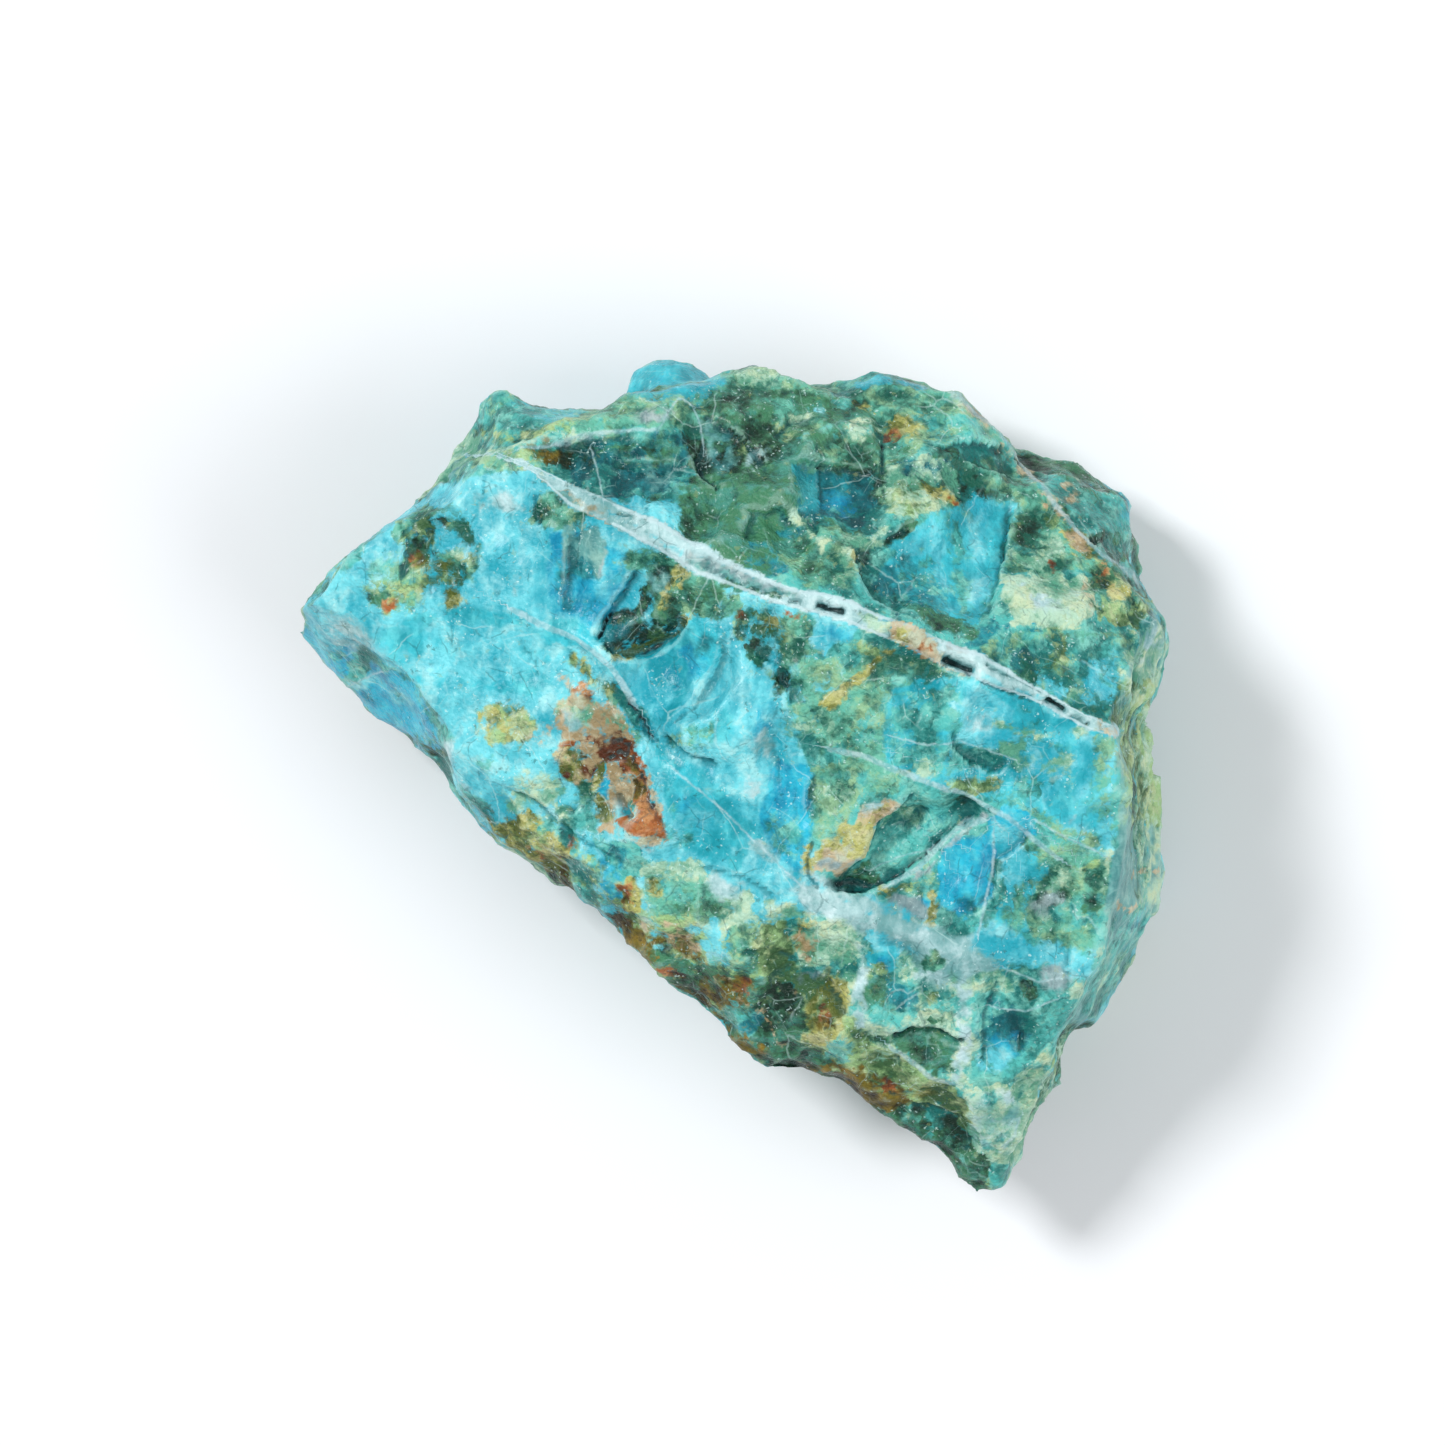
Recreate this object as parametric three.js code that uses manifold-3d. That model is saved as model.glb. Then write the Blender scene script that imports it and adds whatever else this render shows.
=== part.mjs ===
// Rough blue opal: one broken stone that lies on its flat underside.
// Millimetres. X runs along the stone's length, Y across it, Z up. The origin is on the floor,
// under the middle of the stone's bounding box.

import * as THREE from 'three';
import { mergeVertices } from 'three/addons/utils/BufferGeometryUtils.js';
import { ImprovedNoise } from 'three/addons/math/ImprovedNoise.js';
import Module from 'manifold-3d';

// Driving dimensions.
const FRONT_SLOPE = 0.16;        // fall of the big bright face, millimetres a millimetre, at the crest
const FRONT_BOW = 0.0022;        // how fast that fall grows with the distance from the crest
const BACK_SLOPE = 0.62;         // the same for the dark face behind the crest
const BACK_BOW = 0.006;
const NOTCHED_CORNER_SLOPE = 0.9; // extra fall beyond the brown rim vein, at the far right corner
const EDGE_ROUND_WIDTH = 6.5;    // the low front edge turns down over this width
const EDGE_ROUND_DROP = 3.2;     // and by this much
const LOW_SIDE_START = 18;       // it starts to turn down this far in front of the crest
const LOW_SIDE_WIDTH = 8;        // and turns down in full this much farther on
const LOWER_APRON_SLOPE = 0.13;  // extra fall of the apron below the white band
const DEPTH_BELOW_FLOOR = 3;     // the stone is made this much deeper, then cut flat at the floor
const SKIN_DETAIL = 20;          // subdivision of the icosahedron that becomes the skin
const SKIN_ROUNDS = 14;          // rounds of evening the triangles out
const FLATTEN_UP = 0.6;          // squash of the rays, so that the broad faces get their share of triangles
const FLATTEN_DOWN = 0.32;
const HEART = new THREE.Vector3(-1, -1, 9); // the skin is drawn along rays from this point
const PLAIN_MARCH = { stride: 4, precision: 0.02 }; // steps along a ray, for the plain form
const DETAILED_MARCH = { stride: 1.2, precision: 0.0005 }; // and for the broken surface
const TOP_SHARE = 0.85;          // share of a height over the upper face that counts as distance
const NORMAL_STEP = 0.12;        // half the span over which the field's slope is read
const EVENING_SHARE = 0.7;       // how far a vertex moves to its neighbours' middle in one round
const SHARPEN_HOLD = 0.08;       // how firmly a vertex keeps its place when it is drawn to a crease
const SHARPEN_REACH = 0.5;       // how far it may move, in mean edge lengths
const WELD_GAP = 1e-4;
const CUTTER_WIDTH = 200;        // the box that cuts the stone flat at the floor
const CUTTER_DEPTH = 20;

// The crest: the white vein along the top ridge, from the left end to the right. x, y, height.
const CREST = [
  [-27.5, 25.4, 24.2], [-23.1, 27.2, 25.8], [-19.4, 27.9, 26.8], [-14.5, 24.9, 28.0], [-9.2, 22.8, 29.1],
  [-3.8, 19.9, 30.2], [1.5, 17.4, 31.0], [6.2, 15.9, 31.5], [10.3, 14.8, 31.8], [15.2, 12.4, 31.8],
  [19.3, 10.0, 31.5], [24.3, 8.5, 31.0], [29.3, 6.3, 30.4], [34.5, 3.9, 29.6],
];

// The brow: the widest line round the stone, clockwise from the left tip.
// x, y, height of the brow, lean of the side above it, tuck of the side below it.
const BROW = [
  [-40.0, 13.4, 11, 0.3, 0.75], [-39.5, 15.1, 14, 0.1, 0.6], [-37.1, 16.9, 17, 0.1, 0.45],
  [-34.8, 19.4, 18, 0.1, 0.4], [-32.6, 21.0, 19, 0.1, 0.35], [-30.3, 22.8, 19, 0.1, 0.35],
  [-28.1, 24.5, 18, 0.2, 0.35], [-27.3, 26.2, 17, 0.4, 0.4], [-26.9, 28.5, 17, 0.5, 0.4],
  [-26.3, 29.7, 16, 0.5, 0.4], [-24.6, 32.2, 16, 0.5, 0.45], [-23.1, 34.2, 17, 0.4, 0.5],
  [-22.0, 34.5, 19, 0.2, 0.5], [-18.0, 33.5, 18, 0.1, 0.45], [-14.3, 32.6, 17, 0.1, 0.4],
  [-11.6, 33.6, 15, 0.1, 0.4], [-10.1, 34.8, 15, 0.1, 0.4], [-6.2, 35.0, 14, 0.1, 0.4],
  [-2.3, 36.0, 13, 0.1, 0.45], [-1.2, 36.9, 13, 0.2, 0.5], [0.5, 37.7, 13, 0.2, 0.5],
  [2.9, 37.5, 13, 0.2, 0.5], [4.5, 36.5, 13, 0.1, 0.5], [5.6, 35.7, 12, 0.1, 0.45],
  [7.0, 35.7, 12, 0.1, 0.45], [9.3, 34.4, 12, 0.1, 0.4], [10.5, 35.3, 12, 0.1, 0.45],
  [13.0, 35.8, 12, 0.1, 0.5], [15.2, 35.7, 12, 0.1, 0.5], [17.9, 34.9, 11, 0.1, 0.5],
  [21.5, 33.1, 10, 0.1, 0.5], [25.0, 30.4, 9, 0.2, 0.5], [26.1, 29.5, 8, 0.3, 0.5],
  [28.3, 28.6, 8, 0.3, 0.5], [30.7, 28.4, 8, 0.3, 0.5], [31.5, 27.5, 8, 0.3, 0.5],
  [35.9, 26.5, 8, 0.3, 0.5], [37.4, 23.8, 8, 0.3, 0.5], [37.3, 22.5, 8, 0.3, 0.5],
  [36.5, 21.1, 8, 0.3, 0.45], [36.8, 18.4, 8, 0.2, 0.45], [38.1, 16.7, 9, 0.2, 0.5],
  [39.5, 14.8, 10, 0.2, 0.5], [40.1, 13.5, 10, 0.2, 0.5], [40.0, 11.3, 9, 0.22, 0.45],
  [39.3, 8.5, 8, 0.22, 0.4], [38.4, 6.1, 7, 0.22, 0.35], [37.8, 3.6, 7, 0.2, 0.3],
  [38.1, 0.4, 7, 0.18, 0.3], [38.6, -6.5, 6, 0.19, 0.3], [38.4, -10.5, 6, 0.2, 0.3],
  [37.8, -13.8, 7, 0.2, 0.35], [36.7, -14.7, 7, 0.2, 0.35], [36.5, -16.5, 6, 0.2, 0.3],
  [34.0, -20.9, 7, 0.2, 0.35], [32.9, -22.8, 8, 0.2, 0.35], [30.2, -24.5, 8, 0.12, 0.35],
  [30.2, -26.6, 8, 0.14, 0.35], [28.1, -30.7, 9, 0.14, 0.4], [26.4, -34.3, 10, 0.12, 0.45],
  [25.6, -36.2, 11, 0.12, 0.55], [24.5, -37.0, 12, 0.1, 0.6], [22.3, -37.8, 13, 0.1, 0.6],
  [18.7, -35.6, 14, 0.1, 0.5], [15.2, -33.5, 15, 0.1, 0.45], [13.0, -31.3, 15, 0.1, 0.45],
  [9.2, -28.8, 16, 0.1, 0.4], [5.4, -27.3, 16, 0.1, 0.4], [2.4, -25.8, 16, 0.1, 0.4],
  [-2.0, -22.3, 17, 0.1, 0.4], [-5.7, -19.6, 17, 0.1, 0.4], [-9.7, -15.1, 17, 0.1, 0.4],
  [-14.5, -11.9, 17, 0.1, 0.4], [-17.2, -9.8, 16, 0.1, 0.4], [-21.2, -6.8, 15, 0.1, 0.4],
  [-26.0, -2.3, 12, 0.15, 0.45], [-28.4, 0.6, 10, 0.3, 0.5], [-33.2, 5.2, 9, 0.4, 0.55],
  [-38.5, 10.0, 9, 0.4, 0.7], [-39.8, 12.4, 10, 0.35, 0.75],
];

// The brown rim vein: the stone drops away faster on its far side.
const RIM_VEIN = [
  [19.8, 35.0], [23.4, 31.5], [26.1, 28.5], [28.5, 25.5],
  [31.0, 22.7], [34.3, 19.5], [37.0, 17.5], [40.0, 15.2],
];

// The white band low on the bright face: the apron below it falls faster.
const APRON_LINE = [[-18, -13], [-6, -9], [2, -9.5], [9.2, -11.6], [16.3, -14.6], [23.4, -16.5], [36, -19]];

// Hollows and swellings with an oval rim: x, y, half length, half width, turn in degrees, depth
// (a negative depth stands proud).
const DISHES = {
  smoothHollow: [-5.5, 9.3, 4.8, 3.9, -20, 1.7],
  darkScoop: [-7.5, 14.9, 5.2, 3.9, 0, 1.6],
  slateChip: [-13.9, 16.9, 2.3, 5.2, 0, 0.9],
  rustPit: [-10.5, -2.2, 1.9, 2.6, 0, 1.0],
  rustLump: [-7.8, -5.0, 3.2, 2.4, -40, -0.9],
  cyanScoop: [22.9, 3.5, 3.2, 3.9, 0, 1.5],
  fibrousSwell: [30.5, -2.0, 4.0, 5.0, 0, -0.5],
  darkBlueChip: [3.2, 20.7, 3.7, 2.7, -35, 1.5],
  darkGreenChip: [-1.8, 24.3, 3.0, 4.6, -15, 1.3],
  tealChip: [7.9, 25.3, 3.0, 2.3, 10, 0.9],
  slateLongChip: [-8.5, 27.0, 6.5, 2.6, -14, 0.8],
  backLump: [28.5, 15.5, 4.8, 2.8, -10, -0.9],
  mossLump: [1.8, -15.6, 3.2, 2.4, 30, -0.7],
  ochreLump: [8.4, -22.6, 3.0, 2.6, -30, -0.8],
  cornerLump: [-25.5, 20.6, 3.0, 3.4, 30, -0.7],
  oliveLump: [-31.5, 15.5, 3.0, 2.2, 30, -0.6],
  crackedBrow: [7.3, 32.8, 1.9, 1.6, 0, 0.9],
  greenSpot: [26.7, 22.6, 1.6, 1.5, 0, 0.8],
  edgeBite: [-16.0, -8.6, 2.8, 1.8, -35, 0.9],
  lowBite: [-4.5, -17.0, 3.4, 2.0, -40, 0.9],
  tealBite: [17.5, -30.5, 3.6, 2.2, -35, 0.8],
};

// Pockets and plates with an angular rim: depth, width of the wall round it, corners.
const PLATES = {
  darkPocket: [2.5, 1.3, [[16.8, -0.8], [19, -2.1], [23.1, -4], [20.6, -5.4], [17.6, -7.8], [16.3, -9.2],
    [12.5, -10.4], [8.1, -10.4], [11.1, -7.5], [13.3, -4.8], [14.9, -3.2]]],
  slopingFlake: [0.9, 1.4, [[14.9, -2.1], [15.2, -3.2], [12.5, -6.2], [9.7, -8.9], [6.7, -8.9], [6.7, -7.5],
    [8.9, -5.9], [10.8, -3.7], [13, -2.6]]],
  azurePlate: [0.8, 1.6, [[24.5, -2.9], [27.2, -4.3], [26.4, -6.7], [23.4, -9.2], [22.8, -11.6],
    [19.5, -12.7], [18.5, -10], [20.4, -6.5], [23.1, -3.7]]],
  raisedFlake: [-0.9, 1.3, [[0.2, 11.3], [2.5, 11.1], [5.2, 7.2], [2.5, 1.3], [-3.9, 1.7], [-6.6, 4.5],
    [-3, 7.6]]],
  greenPocket: [1.8, 0.9, [[14.6, -23.9], [16.3, -22.9], [20.6, -24], [20.1, -26.9], [18.2, -27.2],
    [15.2, -24.5]]],
  tealHollow: [2.3, 2.6, [[11.7, 18.9], [13.5, 20.8], [20.1, 23.7], [21.5, 24.9], [26.1, 24.9],
    [24.3, 21.1], [23.9, 17.8], [22.8, 14], [20.6, 11.5], [17.9, 12.4], [13, 15.9]]],
};

// Ridges and creases: height (negative for a crease), half width, points.
const SEAMS = {
  thinVeinRidge: [0.8, 1.7, [[-17.1, 14], [-14.4, 12.2], [-11.8, 9.7], [-9.5, 7.5]]],
  veinCrease: [-0.9, 1.8, [[-9.5, 7.5], [-8.5, 5.4], [-6.6, 2.2]]],
  whiteBand: [0.7, 2.0, [[9.2, -11.6], [12.5, -13.3], [16.3, -14.6], [19.5, -16.5], [23.4, -16.5]]],
  backBreak: [0.9, 1.6, [[-19.1, 29.4], [-15.5, 30], [-12.1, 30.8], [-8.1, 31.5], [-6.5, 32.2]]],
  chipRidge: [0.9, 1.4, [[5.6, 23.8], [6.7, 22.7], [7.8, 20.8]]],
  paleFinger: [1.0, 1.2, [[9.7, 19.5], [10.8, 21.1], [13.8, 21.6]]],
  arcRidge: [1.1, 1.6, [[14.1, 26.3], [15.7, 28.2], [17.9, 29.2], [19.8, 29.3], [22, 27.6]]],
  backCrease: [-1.2, 1.6, [[13.1, 32.5], [13.2, 29], [13.4, 26.3]]],
  oliveRidge: [0.8, 1.3, [[-3, 33.5], [-0.6, 32.3], [2.4, 29.5]]],
  rimVein: [0.5, 1.4, [[19.8, 33.8], [23.4, 31.5], [26.1, 28.5], [28.5, 25.5], [31, 22.7], [34.3, 19.5]]],
  lowVein: [0.4, 1.2, [[11.6, -15.5], [11.1, -24.2]]],
};

// The small blue knob that peeps out behind the far edge: centre and half sizes.
const KNOB = { centre: new THREE.Vector3(-6.2, 34.0, 9.5), half: new THREE.Vector3(4.3, 3.6, 4.5) };

// Broken grain: scallops between sharp crests, in cells of this size.
const SCALLOP_CELL = 6.5;
const SCALLOP_FRONT = 0.5;
const SCALLOP_BACK = 1.0;
const SCALLOP_SIDE = 1.3;
const SCALLOP_MEAN = 0.3;        // taken off a scallop's height, so that the stone keeps its size
const SIDE_FADE_WIDTH = 4;       // the top's grain gives way to the side's over this width
const SIDE_FADE_RISE = 0.3;      // and sooner below the brow, by this share of the depth
const SWELL_LENGTH = 13;
const SWELL_HEIGHT = 0.7;

// The crest's stations along its straight run, and how far across the run each lies.
const CREST_RUN = new THREE.Vector2(0.914, -0.407).normalize();
const CREST_STATIONS = CREST.map(([x, y, height]) => ({
  along: x * CREST_RUN.x + y * CREST_RUN.y,
  across: y * CREST_RUN.x - x * CREST_RUN.y,
  height,
}));

const noise = new ImprovedNoise();
const clamp01 = (t) => Math.min(1, Math.max(0, t));

// Repeatable number from 0 to 1 for a cell of a grid.
function chance(i, j, k, salt) {
  const wave = Math.sin(i * 127.1 + j * 311.7 + k * 74.7 + salt * 53.3) * 43758.5453;
  return wave - Math.floor(wave);
}

// Squared distance from a point to a segment in plan, and the place of the nearest point along it.
function toSegment(x, y, a, b) {
  const dx = b[0] - a[0];
  const dy = b[1] - a[1];
  const along = clamp01(((x - a[0]) * dx + (y - a[1]) * dy) / (dx * dx + dy * dy));
  const gapX = x - a[0] - along * dx;
  const gapY = y - a[1] - along * dy;
  return { along, squared: gapX * gapX + gapY * gapY };
}

// Distance in plan from a point to a line of segments.
function distanceToLine(x, y, line) {
  let best = Infinity;
  for (let i = 1; i < line.length; i += 1) {
    best = Math.min(best, toSegment(x, y, line[i - 1], line[i]).squared);
  }
  return Math.sqrt(best);
}

// Whether a point of the plan lies inside a ring of corners.
function inside(x, y, corners) {
  let hit = false;
  for (let i = 0, j = corners.length - 1; i < corners.length; j = i, i += 1) {
    const [xi, yi] = corners[i];
    const [xj, yj] = corners[j];
    if ((yi > y) !== (yj > y) && x < ((xj - xi) * (y - yi)) / (yj - yi) + xi) {
      hit = !hit;
    }
  }
  return hit;
}

// How far a point lies on the left of a line that runs left to right, negative on its right side.
function sideOfLine(x, y, line) {
  let best = Infinity;
  let side = 1;
  for (let i = 1; i < line.length; i += 1) {
    const a = line[i - 1];
    const b = line[i];
    const { squared } = toSegment(x, y, a, b);
    if (squared < best) {
      best = squared;
      side = Math.sign((b[0] - a[0]) * (y - a[1]) - (b[1] - a[1]) * (x - a[0]));
    }
  }
  return side * Math.sqrt(best);
}

// Where a point lies against the crest: how far behind it (negative in front), and its height there.
function fromCrest(x, y) {
  const along = x * CREST_RUN.x + y * CREST_RUN.y;
  const across = y * CREST_RUN.x - x * CREST_RUN.y;
  let i = 1;
  while (i < CREST_STATIONS.length - 1 && CREST_STATIONS[i].along < along) {
    i += 1;
  }
  const a = CREST_STATIONS[i - 1];
  const b = CREST_STATIONS[i];
  const share = clamp01((along - a.along) / (b.along - a.along));
  return {
    behind: across - THREE.MathUtils.lerp(a.across, b.across, share),
    height: THREE.MathUtils.lerp(a.height, b.height, share),
  };
}

// Nearest place on the brow: depth inside it, and the side's form there.
function fromBrow(x, y) {
  let best = Infinity;
  let form = [0, 0, 0];
  for (let i = 0; i < BROW.length; i += 1) {
    const a = BROW[i];
    const b = BROW[(i + 1) % BROW.length];
    const { along, squared } = toSegment(x, y, a, b);
    if (squared < best) {
      best = squared;
      form = [2, 3, 4].map((column) => a[column] + along * (b[column] - a[column]));
    }
  }
  const depth = Math.sqrt(best) * (inside(x, y, BROW) ? 1 : -1);
  return { depth, height: form[0], lean: form[1], tuck: form[2] };
}

// Height that the hollows and swellings add.
function dishRelief(x, y) {
  let relief = 0;
  for (const [cx, cy, halfLength, halfWidth, turn, depth] of Object.values(DISHES)) {
    const angle = THREE.MathUtils.degToRad(turn);
    const along = ((x - cx) * Math.cos(angle) + (y - cy) * Math.sin(angle)) / halfLength;
    const across = ((y - cy) * Math.cos(angle) - (x - cx) * Math.sin(angle)) / halfWidth;
    relief -= depth * Math.max(0, 1 - along * along - across * across);
  }
  return relief;
}

// Height that the pockets and plates add.
function plateRelief(x, y) {
  let relief = 0;
  for (const [depth, wall, corners] of Object.values(PLATES)) {
    if (inside(x, y, corners)) {
      relief -= depth * clamp01(distanceToLine(x, y, [...corners, corners[0]]) / wall);
    }
  }
  return relief;
}

// Height that the ridges and creases add.
function seamRelief(x, y) {
  let relief = 0;
  for (const [height, halfWidth, line] of Object.values(SEAMS)) {
    relief += height * Math.max(0, 1 - distanceToLine(x, y, line) / halfWidth);
  }
  return relief;
}

// Height of the stone's upper face over a point of the plan.
function topHeight(x, y, brow, crest, detailed) {
  const reach = Math.abs(crest.behind);
  const [slope, bow] = crest.behind > 0 ? [BACK_SLOPE, BACK_BOW] : [FRONT_SLOPE, FRONT_BOW];
  let height = crest.height - slope * reach - bow * reach * reach;
  if (crest.behind > 0) {
    height -= NOTCHED_CORNER_SLOPE * Math.max(0, sideOfLine(x, y, RIM_VEIN));
  } else {
    height += LOWER_APRON_SLOPE * Math.min(0, sideOfLine(x, y, APRON_LINE));
    const nearEdge = clamp01(1 - brow.depth / EDGE_ROUND_WIDTH);
    const lowSide = clamp01((reach - LOW_SIDE_START) / LOW_SIDE_WIDTH);
    height -= EDGE_ROUND_DROP * nearEdge * nearEdge * lowSide;
  }
  if (detailed) {
    height += dishRelief(x, y) + plateRelief(x, y) + seamRelief(x, y);
  }
  return height;
}

// Scallops: the square of the distance to the nearest seed, so that bowls meet at sharp crests.
function scallops(x, y, z) {
  const i0 = Math.floor(x / SCALLOP_CELL);
  const j0 = Math.floor(y / SCALLOP_CELL);
  const k0 = Math.floor(z / SCALLOP_CELL);
  let nearest = Infinity;
  for (let i = i0 - 1; i <= i0 + 1; i += 1) {
    for (let j = j0 - 1; j <= j0 + 1; j += 1) {
      for (let k = k0 - 1; k <= k0 + 1; k += 1) {
        const gapX = (i + chance(i, j, k, 1)) * SCALLOP_CELL - x;
        const gapY = (j + chance(i, j, k, 2)) * SCALLOP_CELL - y;
        const gapZ = (k + chance(i, j, k, 3)) * SCALLOP_CELL - z;
        nearest = Math.min(nearest, gapX * gapX + gapY * gapY + gapZ * gapZ);
      }
    }
  }
  return nearest / (SCALLOP_CELL * SCALLOP_CELL) - SCALLOP_MEAN;
}

// The stone as a field: negative inside, positive outside, zero on the skin.
function field(x, y, z, detailed = true) {
  const brow = fromBrow(x, y);
  const crest = fromCrest(x, y);
  const overTop = (z - topHeight(x, y, brow, crest, detailed)) * TOP_SHARE;
  const above = z - brow.height;
  const slant = above > 0 ? brow.lean * above : -brow.tuck * above;
  const pastSide = slant - brow.depth;
  let value = Math.max(overTop, pastSide);
  if (detailed) {
    let grain = crest.behind > 0 ? SCALLOP_BACK : SCALLOP_FRONT;
    const onTop = clamp01((brow.depth + above * SIDE_FADE_RISE) / SIDE_FADE_WIDTH);
    grain = THREE.MathUtils.lerp(SCALLOP_SIDE, grain, onTop);
    value -= grain * scallops(x, y, z);
    value -= SWELL_HEIGHT * noise.noise(x / SWELL_LENGTH, y / SWELL_LENGTH, z / SWELL_LENGTH);
    const knob = Math.hypot((x - KNOB.centre.x) / KNOB.half.x, (y - KNOB.centre.y) / KNOB.half.y,
      (z - KNOB.centre.z) / KNOB.half.z);
    value = Math.min(value, (knob - 1) * KNOB.half.y);
  }
  return Math.max(value, -DEPTH_BELOW_FLOOR - z);
}

// First crossing of the skin along a ray from the heart.
function onRay(direction, detailed) {
  const { stride, precision } = detailed ? DETAILED_MARCH : PLAIN_MARCH;
  const probe = new THREE.Vector3();
  const within = (reach) => {
    probe.copy(direction).multiplyScalar(reach).add(HEART);
    return field(probe.x, probe.y, probe.z, detailed) < 0;
  };
  let far = stride;
  while (within(far)) {
    far += stride;
  }
  let near = far - stride;
  while (far - near > precision) {
    const middle = (near + far) / 2;
    if (within(middle)) {
      near = middle;
    } else {
      far = middle;
    }
  }
  return direction.clone().multiplyScalar(near).add(HEART);
}

// Unit direction in which the field grows.
function outward(point) {
  const step = NORMAL_STEP;
  const { x, y, z } = point;
  return new THREE.Vector3(
    field(x + step, y, z) - field(x - step, y, z),
    field(x, y + step, z) - field(x, y - step, z),
    field(x, y, z + step) - field(x, y, z - step),
  ).normalize();
}

// The neighbours of each vertex.
function ringsOf(index, count) {
  const rings = Array.from({ length: count }, () => new Set());
  for (let i = 0; i < index.length; i += 3) {
    for (let corner = 0; corner < 3; corner += 1) {
      rings[index[i + corner]].add(index[i + ((corner + 1) % 3)]);
      rings[index[i + corner]].add(index[i + ((corner + 2) % 3)]);
    }
  }
  return rings.map((ring) => [...ring]);
}

// Pulls a vertex that lies near a crease onto it: the place nearest to its neighbours' tangent planes.
function sharpen(points, rings, pull, limit) {
  const normals = points.map(outward);
  return points.map((point, i) => {
    const matrix = new THREE.Matrix3().set(pull, 0, 0, 0, pull, 0, 0, 0, pull);
    const e = matrix.elements;
    const right = new THREE.Vector3();
    let length = 0;
    for (const j of [i, ...rings[i]]) {
      const n = normals[j];
      const gap = n.dot(points[j].clone().sub(point));
      right.addScaledVector(n, gap);
      length += points[j].distanceTo(point);
      e[0] += n.x * n.x;
      e[1] += n.x * n.y;
      e[2] += n.x * n.z;
      e[3] += n.x * n.y;
      e[4] += n.y * n.y;
      e[5] += n.y * n.z;
      e[6] += n.x * n.z;
      e[7] += n.y * n.z;
      e[8] += n.z * n.z;
    }
    const move = right.applyMatrix3(matrix.invert());
    return point.clone().add(move.clampLength(0, (limit * length) / rings[i].length));
  });
}

// The skin: a sphere of triangles drawn onto the stone, evened out, then fitted to its detail.
function makeSkin() {
  const sphere = new THREE.IcosahedronGeometry(1, SKIN_DETAIL);
  sphere.deleteAttribute('normal');
  sphere.deleteAttribute('uv');
  const merged = mergeVertices(sphere, WELD_GAP);
  const index = [...merged.index.array];
  const corners = merged.attributes.position;
  let points = [];
  for (let i = 0; i < corners.count; i += 1) {
    const ray = new THREE.Vector3().fromBufferAttribute(corners, i);
    ray.z *= ray.z > 0 ? FLATTEN_UP : FLATTEN_DOWN;
    points.push(onRay(ray.normalize(), false));
  }
  const rings = ringsOf(index, points.length);
  for (let round = 0; round < SKIN_ROUNDS; round += 1) {
    points = points.map((point, i) => {
      const middle = rings[i].reduce((sum, j) => sum.add(points[j]), new THREE.Vector3());
      middle.divideScalar(rings[i].length);
      return onRay(point.clone().lerp(middle, EVENING_SHARE).sub(HEART).normalize(), false);
    });
  }
  points = points.map((point) => onRay(point.clone().sub(HEART).normalize(), true));
  points = sharpen(points, rings, SHARPEN_HOLD, SHARPEN_REACH);
  return { points, index };
}

// A closed solid with the given corners and triangles.
function toSolid(wasm, points, index) {
  const flat = new Float32Array(points.length * 3);
  points.forEach((point, i) => point.toArray(flat, i * 3));
  const triangles = new Uint32Array(index);
  return new wasm.Manifold(new wasm.Mesh({ numProp: 3, vertProperties: flat, triVerts: triangles }));
}

// A box of a given size round a given centre.
function boxSolid(wasm, size, centre) {
  const box = new THREE.BoxGeometry(size.x, size.y, size.z).translate(centre.x, centre.y, centre.z);
  box.deleteAttribute('normal');
  box.deleteAttribute('uv');
  const merged = mergeVertices(box);
  const corners = [];
  for (let i = 0; i < merged.attributes.position.count; i += 1) {
    corners.push(new THREE.Vector3().fromBufferAttribute(merged.attributes.position, i));
  }
  return toSolid(wasm, corners, merged.index.array);
}

// The geometry of a solid's mesh.
function toGeometry(mesh) {
  const geometry = new THREE.BufferGeometry();
  geometry.setAttribute('position', new THREE.BufferAttribute(new Float32Array(mesh.vertProperties), 3));
  geometry.setIndex([...mesh.triVerts]);
  return geometry;
}

const wasm = await Module();
wasm.setup();

const skin = makeSkin();
const whole = toSolid(wasm, skin.points, skin.index);
const cutter = new THREE.Vector3(CUTTER_WIDTH, CUTTER_WIDTH, CUTTER_DEPTH);
const belowFloor = boxSolid(wasm, cutter, new THREE.Vector3(0, 0, -CUTTER_DEPTH / 2));
const geometry = toGeometry(whole.subtract(belowFloor).getMesh());
geometry.computeBoundingBox();
const middle = geometry.boundingBox.getCenter(new THREE.Vector3());
geometry.translate(-middle.x, -middle.y, 0);
geometry.computeVertexNormals();

const opal = new THREE.MeshStandardMaterial({ color: 0x35a3ad, roughness: 0.45, metalness: 0 });
const stone = new THREE.Mesh(geometry, opal);
stone.name = 'rough_opal';

const part = new THREE.Group();
part.add(stone);

export default part;
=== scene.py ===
"""Finished look of the rough blue opal: broken grain, minerals, veins and studio."""

import logging
import math
from dataclasses import dataclass, field
from enum import Enum

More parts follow.
